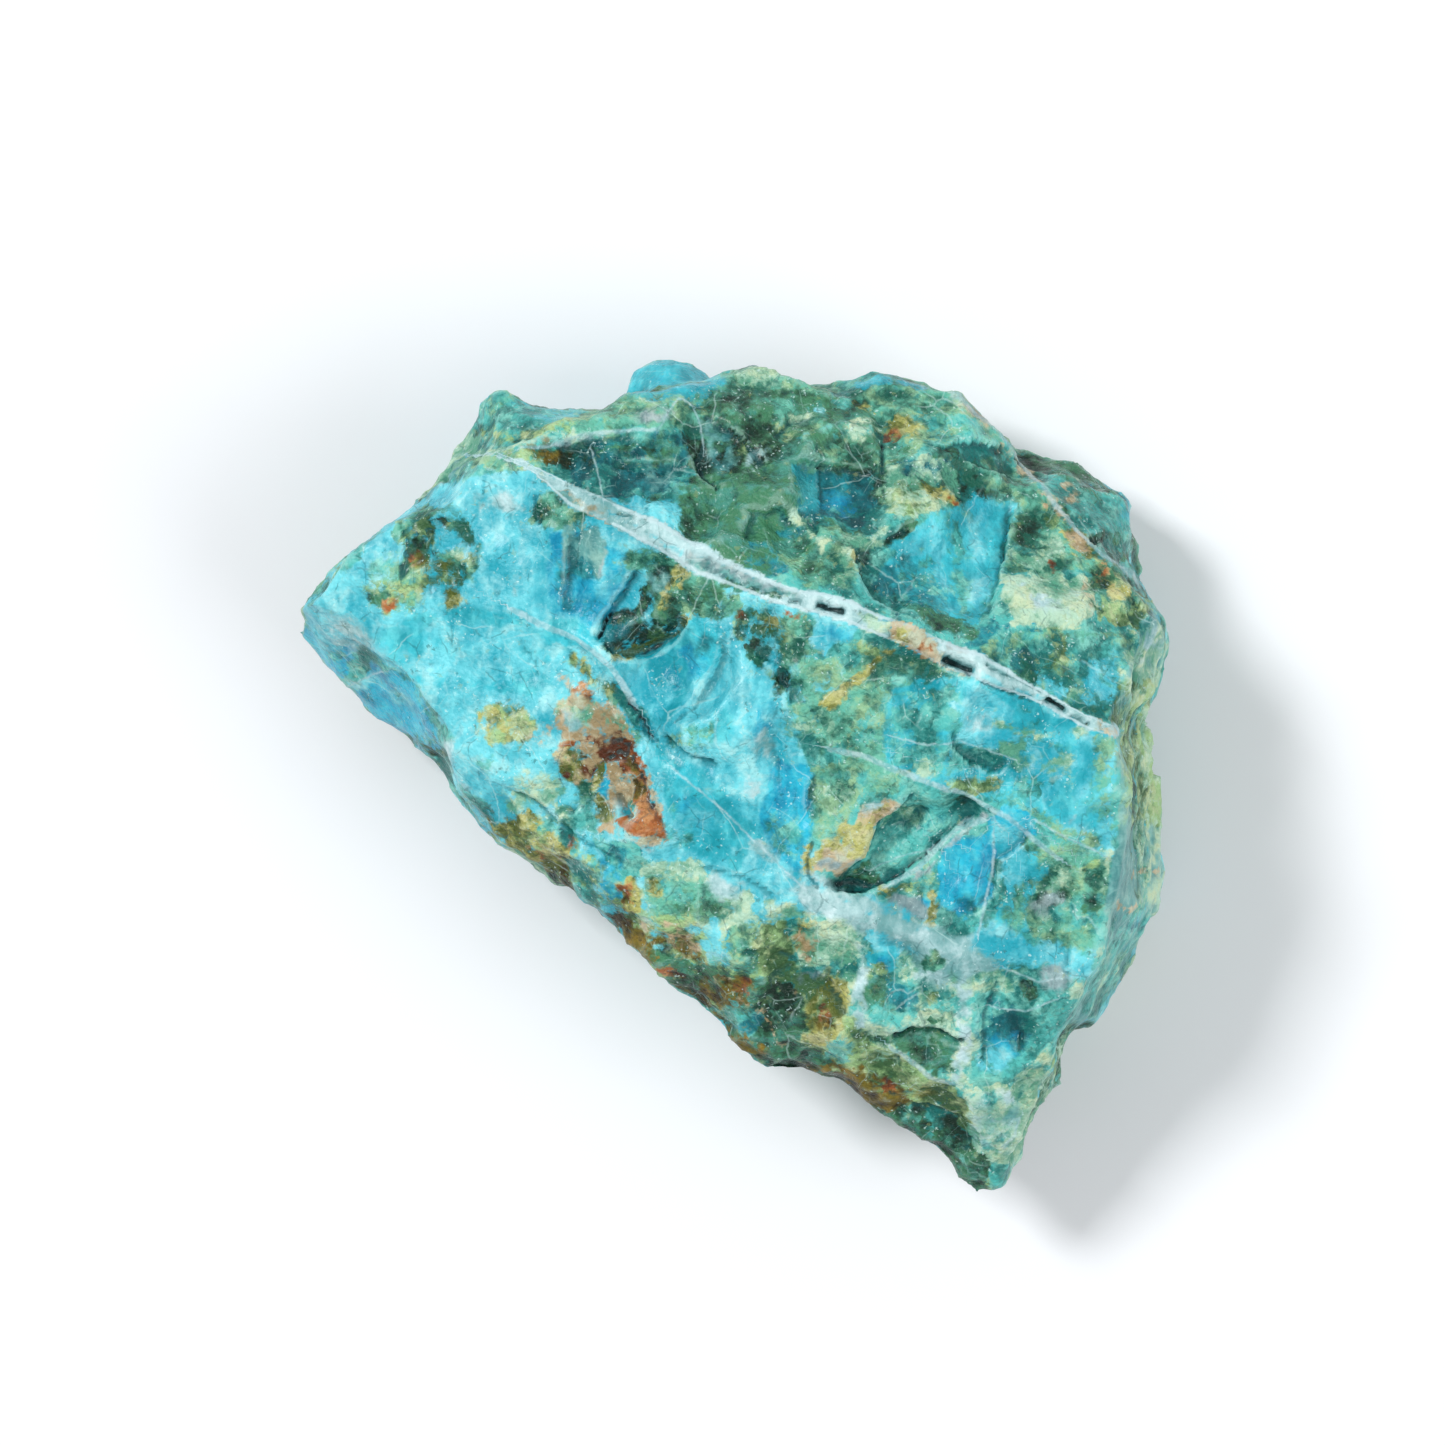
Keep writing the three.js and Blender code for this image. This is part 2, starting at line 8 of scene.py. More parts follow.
import bmesh
import bpy
import numpy as np
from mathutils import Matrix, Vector


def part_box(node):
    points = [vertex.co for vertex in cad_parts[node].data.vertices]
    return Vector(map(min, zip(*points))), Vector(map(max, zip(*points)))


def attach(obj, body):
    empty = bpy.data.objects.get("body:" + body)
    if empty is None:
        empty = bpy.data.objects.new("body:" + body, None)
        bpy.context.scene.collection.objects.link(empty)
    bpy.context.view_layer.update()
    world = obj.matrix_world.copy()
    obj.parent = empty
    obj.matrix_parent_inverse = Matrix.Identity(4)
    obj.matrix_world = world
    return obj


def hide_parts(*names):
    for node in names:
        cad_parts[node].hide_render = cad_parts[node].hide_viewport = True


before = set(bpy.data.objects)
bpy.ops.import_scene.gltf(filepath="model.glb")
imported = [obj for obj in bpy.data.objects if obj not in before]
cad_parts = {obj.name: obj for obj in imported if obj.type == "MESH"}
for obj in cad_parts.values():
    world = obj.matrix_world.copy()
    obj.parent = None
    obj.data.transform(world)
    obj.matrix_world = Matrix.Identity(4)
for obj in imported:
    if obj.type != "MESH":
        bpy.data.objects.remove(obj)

LOG = logging.getLogger("rough_opal")
SEED = 11
MM = 0.001
NODE = "rough_opal"
# The minerals are drawn in plan as an eye above the stone sees them, so high places look a little larger.
# EYE is its place in millimetres, PLAN_EYE is the plan point under it, and plan sizes are true at
# PLAN_DISTANCE below it.
EYE = (-1.05, 4.86, 640.0)
PLAN_EYE = (-0.95, 4.68)
PLAN_DISTANCE = 625.8
# The least length and the least share that anything is divided by.
LEAST_LENGTH = 1e-9
LEAST_SHARE = 1e-6
# Large numbers that scatter the bits of a cell's place and salt, and the largest number that they give.
SCATTER = (374761393, 668265263, 2147483629, 974634777)
STIR = 1274126177
SHIFTS = (13, 16)
WORD = 0xFFFFFFFF

Point = tuple[float, float]
Span = tuple[float, float]
Place = tuple[float, float, float]
Colour = tuple[float, float, float]
Socket = bpy.types.NodeSocket


class Mineral(Enum):
    """The minerals that make up the stone, in the order in which the shader lays them; DARK and DEEP also
    serve as painted shade.
    """

    SKY = "sky"
    CYAN = "cyan"
    AZURE = "azure"
    DEEP = "deep"
    TEAL = "teal"
    GREEN = "green"
    DARK = "dark"
    MOSS = "moss"
    MINT = "mint"
    SLATE = "slate"
    OCHRE = "ochre"
    RUST = "rust"
    BROWN = "brown"
    PEACH = "peach"
    WHITE = "white"
    GREY = "grey"


# The minerals' short names, in the same order.
(SKY, CYAN, AZURE, DEEP, TEAL, GREEN, DARK, MOSS,
 MINT, SLATE, OCHRE, RUST, BROWN, PEACH, WHITE, GREY) = Mineral


@dataclass(frozen=True)
class Finish:
    """Colour and surface of one mineral.

    Attributes:
        dark: Linear colour of its shaded grain.
        light: Linear colour of its pale grain.
        accent: Linear colour of the clouds in its pale grain.
        roughness: How dull it is.
        specks: Share of specks on it: pale specks, which are painted glints, and small ochre and dark
            grains.
        relief: Strength of its grain, from waxy (low) to crumbly (high).
    """

    dark: Colour
    light: Colour
    accent: Colour
    roughness: float
    specks: float
    relief: float


FINISHES: dict[Mineral, Finish] = {
    SKY: Finish((0.017, 0.342, 0.436), (0.172, 0.682, 0.756), (0.400, 0.780, 0.780), 0.36, 0.25, 0.50),
    CYAN: Finish((0.006, 0.264, 0.330), (0.058, 0.565, 0.665), (0.155, 0.690, 0.720), 0.30, 0.10, 0.28),
    AZURE: Finish((0.003, 0.195, 0.337), (0.023, 0.490, 0.665), (0.100, 0.620, 0.690), 0.32, 0.14, 0.40),
    DEEP: Finish((0.002, 0.056, 0.064), (0.016, 0.256, 0.305), (0.052, 0.420, 0.445), 0.28, 0.22, 0.50),
    TEAL: Finish((0.006, 0.133, 0.120), (0.090, 0.494, 0.451), (0.246, 0.627, 0.515), 0.32, 0.25, 0.58),
    GREEN: Finish((0.008, 0.094, 0.062), (0.128, 0.470, 0.345), (0.342, 0.535, 0.275), 0.40, 0.40, 0.80),
    DARK: Finish((0.004, 0.022, 0.013), (0.054, 0.213, 0.110), (0.060, 0.291, 0.240), 0.28, 0.40, 0.80),
    MOSS: Finish((0.036, 0.105, 0.038), (0.330, 0.550, 0.240), (0.510, 0.590, 0.330), 0.50, 0.45, 0.95),
    MINT: Finish((0.081, 0.306, 0.202), (0.432, 0.657, 0.497), (0.594, 0.684, 0.423), 0.48, 0.35, 0.80),
    SLATE: Finish((0.038, 0.194, 0.204), (0.173, 0.446, 0.417), (0.326, 0.563, 0.485), 0.34, 0.15, 0.35),
    OCHRE: Finish((0.069, 0.100, 0.016), (0.460, 0.470, 0.145), (0.590, 0.600, 0.310), 0.56, 0.40, 1.05),
    RUST: Finish((0.070, 0.018, 0.005), (0.400, 0.130, 0.035), (0.640, 0.350, 0.150), 0.48, 0.25, 0.90),
    BROWN: Finish((0.022, 0.014, 0.001), (0.155, 0.126, 0.016), (0.300, 0.200, 0.030), 0.50, 0.20, 0.95),
    PEACH: Finish((0.280, 0.215, 0.110), (0.580, 0.470, 0.300), (0.460, 0.580, 0.440), 0.48, 0.20, 0.60),
    WHITE: Finish((0.130, 0.330, 0.335), (0.430, 0.650, 0.665), (0.640, 0.820, 0.840), 0.34, 0.15, 0.40),
    GREY: Finish((0.085, 0.165, 0.184), (0.357, 0.504, 0.515), (0.545, 0.640, 0.607), 0.32, 0.12, 0.40),
}


@dataclass(frozen=True)
class Blot:
    """An oval patch of one mineral, in plan millimetres."""

    mineral: Mineral
    x: float
    y: float
    half_length: float
    half_width: float
    strength: float = 1.0
    turn: float = 0.0

    def depth_inside(self, x: np.ndarray, y: np.ndarray) -> np.ndarray:
        """Distance inside the rim.

        Args:
            x: Plan X of the points.
            y: Plan Y of the points.

        Returns:
            Millimetres inside the oval, negative outside it.
        """
        angle = math.radians(self.turn)
        along = (x - self.x) * math.cos(angle) + (y - self.y) * math.sin(angle)
        across = (y - self.y) * math.cos(angle) - (x - self.x) * math.sin(angle)
        reach = np.hypot(along / self.half_length, across / self.half_width)
        return (1.0 - reach) * min(self.half_length, self.half_width)


@dataclass(frozen=True)
class Area:
    """A patch of one mineral with corners, in plan millimetres."""

    mineral: Mineral
    corners: tuple[Point, ...]
    strength: float = 1.0

    def depth_inside(self, x: np.ndarray, y: np.ndarray) -> np.ndarray:
        """Distance inside the rim.

        Args:
            x: Plan X of the points.
            y: Plan Y of the points.

        Returns:
            Millimetres inside the patch, negative outside it.
        """
        closed = self.corners + self.corners[:1]
        distance = np.abs(signed_distance(x, y, closed)[0])
        return np.where(inside_corners(x, y, self.corners), distance, -distance)


@dataclass(frozen=True)
class Streak:
    """A band of one mineral along a line, in plan millimetres."""

    mineral: Mineral
    line: tuple[Point, ...]
    width: float
    strength: float = 1.0

    def depth_inside(self, x: np.ndarray, y: np.ndarray) -> np.ndarray:
        """Distance inside the rim.

        Args:
            x: Plan X of the points.
            y: Plan Y of the points.

        Returns:
            Millimetres inside the band, negative outside it.
        """
        return self.width / 2 - np.abs(signed_distance(x, y, self.line)[0])


Patch = Blot | Area | Streak


def signed_distance(x: np.ndarray, y: np.ndarray, line: tuple[Point, ...]) -> tuple[np.ndarray, np.ndarray]:
    """Distance to a line in plan.

    Args:
        x: Plan X of each point.
        y: Plan Y of each point.
        line: The line's points.

    Returns:
        Signed distance (positive on the line's left), and how far along the line the nearest place is.
    """
    best = np.full(x.shape, np.inf)
    signed = np.zeros(x.shape)
    along_line = np.zeros(x.shape)
    travelled = 0.0
    for (ax, ay), (bx, by) in zip(line[:-1], line[1:]):
        dx, dy = bx - ax, by - ay
        length = math.hypot(dx, dy)
        share = np.clip(((x - ax) * dx + (y - ay) * dy) / (length * length), 0, 1)
        distance = np.hypot(x - ax - share * dx, y - ay - share * dy)
        nearer = distance < best
        side = np.sign(dx * (y - ay) - dy * (x - ax))
        signed = np.where(nearer, distance * np.where(side == 0, 1, side), signed)
        along_line = np.where(nearer, travelled + share * length, along_line)
        best = np.minimum(best, distance)
        travelled += length
    return signed, along_line


def inside_corners(x: np.ndarray, y: np.ndarray, corners: tuple[Point, ...]) -> np.ndarray:
    """Whether each point lies inside a closed outline.

    Args:
        x: Plan X of each point.
        y: Plan Y of each point.
        corners: The outline's corners.

    Returns:
        True for the points inside.
    """
    hit = np.zeros(x.shape, bool)
    for (xi, yi), (xj, yj) in zip(corners, corners[-1:] + corners[:-1]):
        if yi != yj:
            crossing = (xj - xi) * (y - yi) / (yj - yi) + xi
            hit ^= ((yi > y) != (yj > y)) & (x < crossing)
    return hit


def smooth_step(value: np.ndarray, low: float, high: float) -> np.ndarray:
    """Eased ramp.

    Args:
        value: What is ramped.
        low: Where the ramp is zero.
        high: Where the ramp is one.

    Returns:
        Values from 0 to 1.
    """
    t = np.clip((value - low) / (high - low), 0, 1)
    return t * t * (3 - 2 * t)


@dataclass(frozen=True)
class Grain:
    """Repeatable three-dimensional noise over points in millimetres."""

    seed: int = SEED
    octave_salt: int = 31
    gain: float = 1.6

    def chance(self, cell: np.ndarray, salt: int) -> np.ndarray:
        """Repeatable chance for grid cells.

        Args:
            cell: Whole-number cell places, one row each.
            salt: Tells one use from another.

        Returns:
            A number from 0 to 1 for each cell.
        """
        i, j, k = (cell[..., axis].astype(np.int64) * SCATTER[axis] for axis in range(3))
        mixed = (i + j + k + (salt + self.seed) * SCATTER[3]) & WORD
        mixed = ((mixed ^ (mixed >> SHIFTS[0])) * STIR) & WORD
        return (mixed ^ (mixed >> SHIFTS[1])) / (WORD + 1)

    def swell(self, points: np.ndarray, size: float, salt: int, octaves: int = 3) -> np.ndarray:
        """Soft noise of several octaves.

        Args:
            points: Points in millimetres, one row each.
            size: Size of the largest swell in millimetres.
            salt: Tells one use from another.
            octaves: How many ever finer layers it has.

        Returns:
            Noise of about -1 to 1 for each point.
        """
        total = np.zeros(len(points))
        strength = 0.0
        for octave in range(octaves):
            scaled = points / (size * 0.5**octave)
            corner = np.floor(scaled)
            part = scaled - corner
            part = part * part * (3 - 2 * part)
            layer = np.zeros(len(points))
            for offset in np.ndindex(2, 2, 2):
                weight = np.prod(np.where(np.array(offset) == 1, part, 1 - part), axis=1)
                layer += weight * self.chance(corner + np.array(offset), salt + self.octave_salt * octave)
            total += (layer * 2 - 1) * 0.5**octave
            strength += 0.5**octave
        return total / strength * self.gain

    def nearest_cell(self, points: np.ndarray, size: float, salt: int) -> np.ndarray:
        """The jittered cell that each point belongs to.

        Args:
            points: Points in millimetres, one row each.
            size: Cell size in millimetres.
            salt: Tells one use from another.

        Returns:
            Whole-number place of the cell whose seed lies nearest, one row each.
        """
        scaled = points / size
        corner = np.floor(scaled)
        best = np.full(len(points), np.inf)
        home = np.zeros_like(points)
        for offset in np.ndindex(3, 3, 3):
            cell = corner + np.array(offset) - 1
            seed = cell + np.stack([self.chance(cell, salt + axis) for axis in range(3)], axis=1)
            away = seed - scaled
            squared = (away * away).sum(axis=1)
            nearer = squared < best
            best = np.where(nearer, squared, best)
            home[nearer] = cell[nearer]
        return home


@dataclass(frozen=True)
class Swell:
    """One layer of soft noise over the stone, with its reach and its largest lumps in millimetres."""

    reach: float
    size: float
    salt: int
    octaves: int = 3

    def over(self, points: np.ndarray, grain: Grain, axis: int = 0) -> np.ndarray:
        """Reads the layer.

        Args:
            points: Points in millimetres, one row each.
            grain: Where the noise comes from.
            axis: Tells the directions apart, where things are moved by it.

        Returns:
            Millimetres for each point.
        """
        return self.reach * grain.swell(points, self.size, self.salt + axis, self.octaves)

    def bent(self, points: np.ndarray, grain: Grain) -> np.ndarray:
        """The points, moved by the layer along all three axes."""
        return points + np.stack([self.over(points, grain, axis) for axis in range(3)], axis=1)


@dataclass(frozen=True)
class Chips:
    """One layer of flat or shell-shaped breaks, all of one size.

    Attributes:
        size: Distance between the breaks in millimetres.
        bowl: How hollow each one is.
        lean: How far each one tilts.
        step: How far each one is set back at random.
        even: How much of the layer stays on smooth minerals, from 0 to 1.
    """

    size: float
    bowl: float
    lean: float
    step: float
    even: float

    def heights(self, points: np.ndarray, grain: Grain, salt: int) -> tuple[np.ndarray, np.ndarray]:
        """The broken surface: each point takes the lowest of the breaks near it.

        Args:
            points: Points in millimetres, one row each.
            grain: Where the chances come from.
            salt: Tells one layer from another.

        Returns:
            Millimetres above the deepest breaks, and a chance from 0 to 1 that tells the breaks apart.
        """
        scaled = points / self.size
        corner = np.floor(scaled)
        lowest = np.full(len(points), np.inf)
        tone = np.zeros(len(points))
        for offset in np.ndindex(3, 3, 3):
            cell = corner + np.array(offset) - 1
            chances = np.stack([grain.chance(cell, salt + number) for number in range(7)], axis=1)
            place, lean, step = chances[:, :3], chances[:, 3:6] - 0.5, chances[:, 6] - 0.5
            away = scaled - cell - place
            height = self.bowl * (away * away).sum(axis=1) + self.step * step
            height += 2 * self.lean * (lean * away).sum(axis=1)
            lower = height < lowest
            lowest = np.where(lower, height, lowest)
            tone = np.where(lower, chances[:, 4], tone)
        return lowest * self.size, tone


# The white vein along the crest: plan points, and its half width at each.
CREST_LINE: tuple[Point, ...] = (
    (-24.5, 29.3), (-21.4, 29), (-18.6, 28), (-16.5, 26.7), (-14.6, 25.3), (-12.6, 24.5), (-9.8, 23.2),
    (-7, 21.7), (-4, 19.9), (-2, 18.9), (0, 18), (4, 16.4), (6.2, 15.8), (8, 15.5),
    (10.3, 14.9), (12, 14.1), (14, 13.3), (16, 12.5), (18, 11.5), (20, 10.5), (22, 9.9),
    (24, 8.9), (26, 8), (28, 7.1), (30, 5.9), (32, 4.9), (34.6, 3.9),
)
CREST_HALF_WIDTH: tuple[float, ...] = (
    0.1, 0.14, 0.25, 0.6, 1.05, 1.15, 1.15, 1.2, 1.1, 1, 0.95, 0.92, 0.9, 1.05, 1.05, 0.95, 0.95, 1.05,
    1.05, 1.15, 1.1, 1.15, 0.95, 0.85, 0.75, 0.65, 0.55,
)

# Thin veins: half width and plan points.
THIN_VEINS: tuple[tuple[float, tuple[Point, ...]], ...] = (
    (0.3, ((-20, 14.9), (-17, 13.3), (-14.5, 12.3), (-12.6, 10.9), (-11, 9.6), (-9.8, 8), (-9, 6.6))),
    (0.1, ((-5.6, 0.6), (-3.6, -1), (-1.8, -2.6), (1.2, -5.5), (4.8, -8.8), (6.6, -10.4))),
    (0.26, ((8.8, 2.2), (12, 1.6), (15, 0.4), (17.1, -0.4), (20, -1.5), (23.4, -3.2), (25, -3.9),
        (26.6, -5.4), (29.6, -7.6))),
    (0.1, ((27.6, -4.2), (30.4, -5.6), (33.8, -7.5))),
    (0.24, ((22.8, -4.2), (20.6, -4.8), (19.4, -5.8), (18, -7.3), (16.6, -8.7), (14.6, -9.8))),
    (0.22, ((14.4, -24.8), (16.6, -26.4), (18.4, -27.7), (19.8, -28.1))),
    (0.13, ((23.7, -5.2), (23.5, -9), (22.9, -12), (22.3, -14.6))),
    (0.22, ((19.8, 34.2), (23.4, 31.5), (26.1, 28.5), (28.5, 25.4), (31, 22.8), (32.6, 21.1),
        (34.3, 19.6), (37, 17.5), (38.6, 15.6))),
    (0.07, ((-12.9, 29.8), (-12.5, 28.2), (-12.1, 26.8), (-11.8, 25.4))),
    (0.14, ((-19.3, 29.4), (-16, 30.1), (-13, 30.7), (-9, 31.2), (-6.8, 31.1))),
    (0.09, ((-36.6, 7.4), (-34, 8.5), (-31.8, 9.2))),
    (0.09, ((-3.6, 33.2), (-2.9, 31.8), (-2.6, 30.4))),
    (0.09, ((-6.9, 31), (-6, 32.6), (-4.9, 33.9), (-3.6, 33.4))),
    (0.09, ((29.6, -20.4), (26.5, -21.6), (23.5, -21.2))),
    (0.08, ((24.6, -17.8), (27.6, -19), (30.6, -18.4))),
    (0.1, ((24.4, -33.8), (25.4, -32.8), (26.2, -31.2))),
    (0.07, ((14.4, 3.4), (17.6, 2.6), (21, 2.9), (25.6, 1.2))),
    (0.07, ((12.6, -8.6), (15.4, -7.4), (19.4, -6.6))),
)


@dataclass(frozen=True)
class Cavity:
    """A dark hole or slit: its plan line, half width and depth in millimetres."""

    line: tuple[Point, ...]
    half_width: float
    depth: float


CAVITIES: tuple[Cavity, ...] = (
    Cavity(((7.9, 15.3), (8.8, 15), (9.8, 14.8)), 0.42, 1.7),
    Cavity(((19.5, 10.2), (20.6, 9.9), (21.6, 9.4)), 0.6, 2.3),
    Cavity(((28.6, 6.4), (29.2, 6.1), (29.9, 5.8)), 0.42, 1.7),
    Cavity(((23.2, 9.9), (25.5, 9), (29.2, 6.9)), 0.1, 0.4),
    Cavity(((22, 8.7), (24.2, 7.7), (27, 6.7)), 0.1, 0.4),
    Cavity(((30.6, 5.1), (31.4, 4.8), (32.2, 4.5)), 0.15, 0.6),
    Cavity(((-10.6, 23.8), (-10, 23.6), (-9.4, 23.5)), 0.18, 0.6),
    Cavity(((-2.8, 19.2), (-1.6, 18.3), (0.6, 17.2), (2.6, 16.5)), 0.2, 0.3),
    Cavity(((5.2, 15.6), (6.2, 15.4)), 0.2, 0.3),
    Cavity(((33.1, 21.7), (33.5, 21.4)), 0.42, 1.4),
    Cavity(((-26.6, 27.1), (-26.3, 26.8)), 0.25, 0.7),
    Cavity(((14.9, -23.7), (16.2, -23.1), (18.4, -23.3), (20.4, -24.1)), 0.34, 1.1),
    Cavity(((-12.3, 12.4), (-11.9, 13.6), (-11.3, 14.6)), 0.26, 0.9),
    Cavity(((-9.2, 6.5), (-8.2, 5), (-7.2, 3.1)), 0.26, 0.8),
    Cavity(((11.8, 19.6), (12, 18), (13, 16.5), (15.2, 15.2)), 0.28, 1),
    Cavity(((13.6, 30.2), (13.7, 28.8), (13.8, 27.6)), 0.22, 0.5),
    Cavity(((7.4, -6.3), (6.9, -7.8), (7, -9.4), (7.8, -10.4)), 0.18, 0.5),
    Cavity(((-3.3, 28.8), (-2.9, 27.2), (-1.5, 25.5)), 0.3, 0.8),
    Cavity(((4.4, 8.9), (4.7, 8)), 0.4, 0.3),
    Cavity(((26.1, -23.9), (26.2, -25.2)), 0.22, 0.6),
    Cavity(((8.6, -9.9), (10.4, -9.3), (12.4, -9.9)), 0.25, 0.5),
    Cavity(((24.9, 22.8), (24.5, 21.4), (24.2, 19.8)), 0.22, 0.5),
    Cavity(((-18, 25.2), (-18.1, 24), (-17.6, 22.9)), 0.2, 0.5),
    Cavity(((-11.3, 1.5), (-10.5, 1.9), (-9.9, 1.6)), 0.22, 0.5),
    Cavity(((-10.4, -2.2), (-9.8, -3.4), (-9.2, -3.8)), 0.35, 0.6),
)


@dataclass(frozen=True)
class Ledge:
    """A small broken step: its plan line, its drop to the right of the line, and how far that reaches."""

    line: tuple[Point, ...]
    drop: float
    reach: float


LEDGES: tuple[Ledge, ...] = (
    Ledge(((-8.6, 19.2), (-10.9, 15.6), (-12.3, 12.6), (-10.8, 10.6), (-7.6, 10.4), (-5.6, 11.8),
        (-3.8, 14.4)), -0.6, 2.6),
    Ledge(((-1.2, 12.6), (-1.5, 10.6), (-2.6, 8.4), (-3.8, 6.5), (-6.6, 4.3)), -0.45, 2.4),
    Ledge(((-6.8, 4.1), (-5.2, 2.6), (-3.8, 1.6), (-2, 1.2), (-0.6, 0.4)), 0.45, 2.4),
    Ledge(((-15.2, 22.4), (-15.1, 18.5), (-15.6, 14.4)), -0.45, 2.4),
    Ledge(((16.6, -0.9), (15, -3.4), (13.3, -4.6), (12.3, -6.6), (10.6, -8.5), (8.3, -9.3)), -0.6, 3.4),
    Ledge(((8, -10.4), (12.2, -10.4), (15.6, -9.2), (18.2, -7.1), (19.6, -5.3),
        (22.8, -3.7)), -0.7, 3),
    Ledge(((20, 4.4), (20.2, 2.6), (21.4, 1), (24, 0.1), (25.6, 1.4)), -0.55, 2.6),
    Ledge(((14.6, -23.6), (16.4, -22.8), (18.6, -22.9), (20.8, -23.9)), 0.6, 2.2),
    Ledge(((27.4, -4.4), (26.6, -6.2), (24, -7.7), (23.4, -11), (22.2, -12.7),
        (19.6, -12.7)), 0.4, 2.4),
    Ledge(((10.8, 21.4), (11.6, 19.4), (11.9, 17.8), (13, 16.2), (16, 14.4)), -0.8, 3.2),
    Ledge(((25.9, 25.2), (24.4, 21.2), (24, 17.6), (23.2, 13.6)), 0.45, 2.6),
    Ledge(((-1.2, 25.2), (-2.6, 26.8), (-3.2, 28.8), (-3, 31)), 0.6, 2.6),
    Ledge(((0.4, 20.4), (1.4, 23.6), (4.4, 24.4), (6, 22.2)), 0.5, 2.6),
    Ledge(((4.6, 28), (9, 28.3), (13, 27.6)), 0.5, 2.8),
    Ledge(((6.9, 0.8), (6.6, -3.4), (7.3, -5.2)), -0.45, 2.2),
    Ledge(((4.6, 7.6), (4.3, 4.6), (4.2, 1.4), (4.6, -2)), 0.25, 2.2),
    Ledge(((24.2, -18.2), (22.6, -22), (22.3, -27.6)), -0.3, 2),
    Ledge(((-36.2, 12.4), (-31, 10.2), (-28.3, 7.2), (-25.4, 3.2)), 0.25, 1.4),
    Ledge(((-11.2, 28.4), (-8, 28.5), (-3.6, 28.3)), 0.4, 2.4),
    Ledge(((-19.4, 29.6), (-15.6, 30.2), (-12.8, 30.6), (-8.6, 30.9)), 0.5, 2.2),
    Ledge(((-3.4, 33.4), (-0.6, 31.6), (2.2, 29.8), (3.8, 26.8)), 0.45, 2.6),
    Ledge(((3, 30.2), (5.2, 32.2), (8.8, 32)), 0.4, 2),
    Ledge(((5.4, 24.8), (6.6, 22.8), (8.2, 20.9)), -0.45, 1.6),
    Ledge(((20.2, 29.4), (22, 28.6), (24.6, 27.4), (27, 25.6)), -0.3, 2.4),
    Ledge(((14, 21.4), (15.6, 22.6), (17.4, 23)), 0.45, 2.4),
    Ledge(((1.4, 11.8), (3.4, 10.2), (5, 7.4), (5.6, 5.4)), -0.4, 2),
    Ledge(((-20, 14.6), (-16.6, 12.8), (-13.4, 10.4), (-10.4, 6.6), (-8, 3.2)), -0.2, 1.6),
    Ledge(((-19.6, 12.4), (-18, 10.4), (-17.2, 8.4)), 0.3, 1.8),
    Ledge(((-12.4, 3.6), (-9.6, 2.6), (-8.2, -0.6), (-6, -5)), 0.28, 1.6),
    Ledge(((-4, -8), (1, -9.2), (4.8, -11.4)), 0.3, 2.4),
    Ledge(((-22, -0.6), (-18, -2.6), (-13.6, -6.2), (-8, -8.6)), 0.3, 2.6),
    Ledge(((2, -15), (7, -17.4), (10.4, -21), (13, -24.6)), 0.2, 2.2),
    Ledge(((13.4, -28.6), (16.8, -30.2), (21.2, -31.8)), 0.35, 2.2),
    Ledge(((12.8, -15.6), (15.4, -16.4), (17.8, -19)), -0.3, 2),
)

# What each stretch of the upper faces is made of, laid one over the other; some dark patches are painted
# shade in hollows and painted shadow along the low edge.
GROUND: tuple[Patch, ...] = (
    Area(SKY, ((-42, 12), (-28, 26), (-18, 28), (-4, 20), (8, 15), (8, 0), (8, -13), (-6, -16), (-28, -4))),
    Area(TEAL, ((-30, 26), (-19, 28), (-9, 23), (10, 15), (35, 4), (44, 6), (40, 30), (10, 40), (-26, 38))),
    Area(DARK, ((-14, 31), (-4, 34), (14, 32), (28, 31), (34, 22), (24, 22), (13, 20), (-2, 19),
        (-14, 26)), 0.45),
    Area(DEEP, ((12, 14), (22, 11), (34, 6), (34, 12), (24, 14), (14, 19)), 0.4),
    Area(GREEN, ((-26, 36), (-26, 30), (-8, 31), (12, 27), (24, 33), (10, 42), (-10, 42)), 0.6),
    Area(TEAL, ((6, 15), (20, 10), (35, 4), (36, -20), (28, -38), (8, -30), (8, -8), (4, 2)), 0.9),
    Area(MOSS, ((-24, -4), (-14, -6), (-8, -12), (0, -13), (12, -22), (22, -30), (24, -40),
        (-8, -24)), 0.8),
)

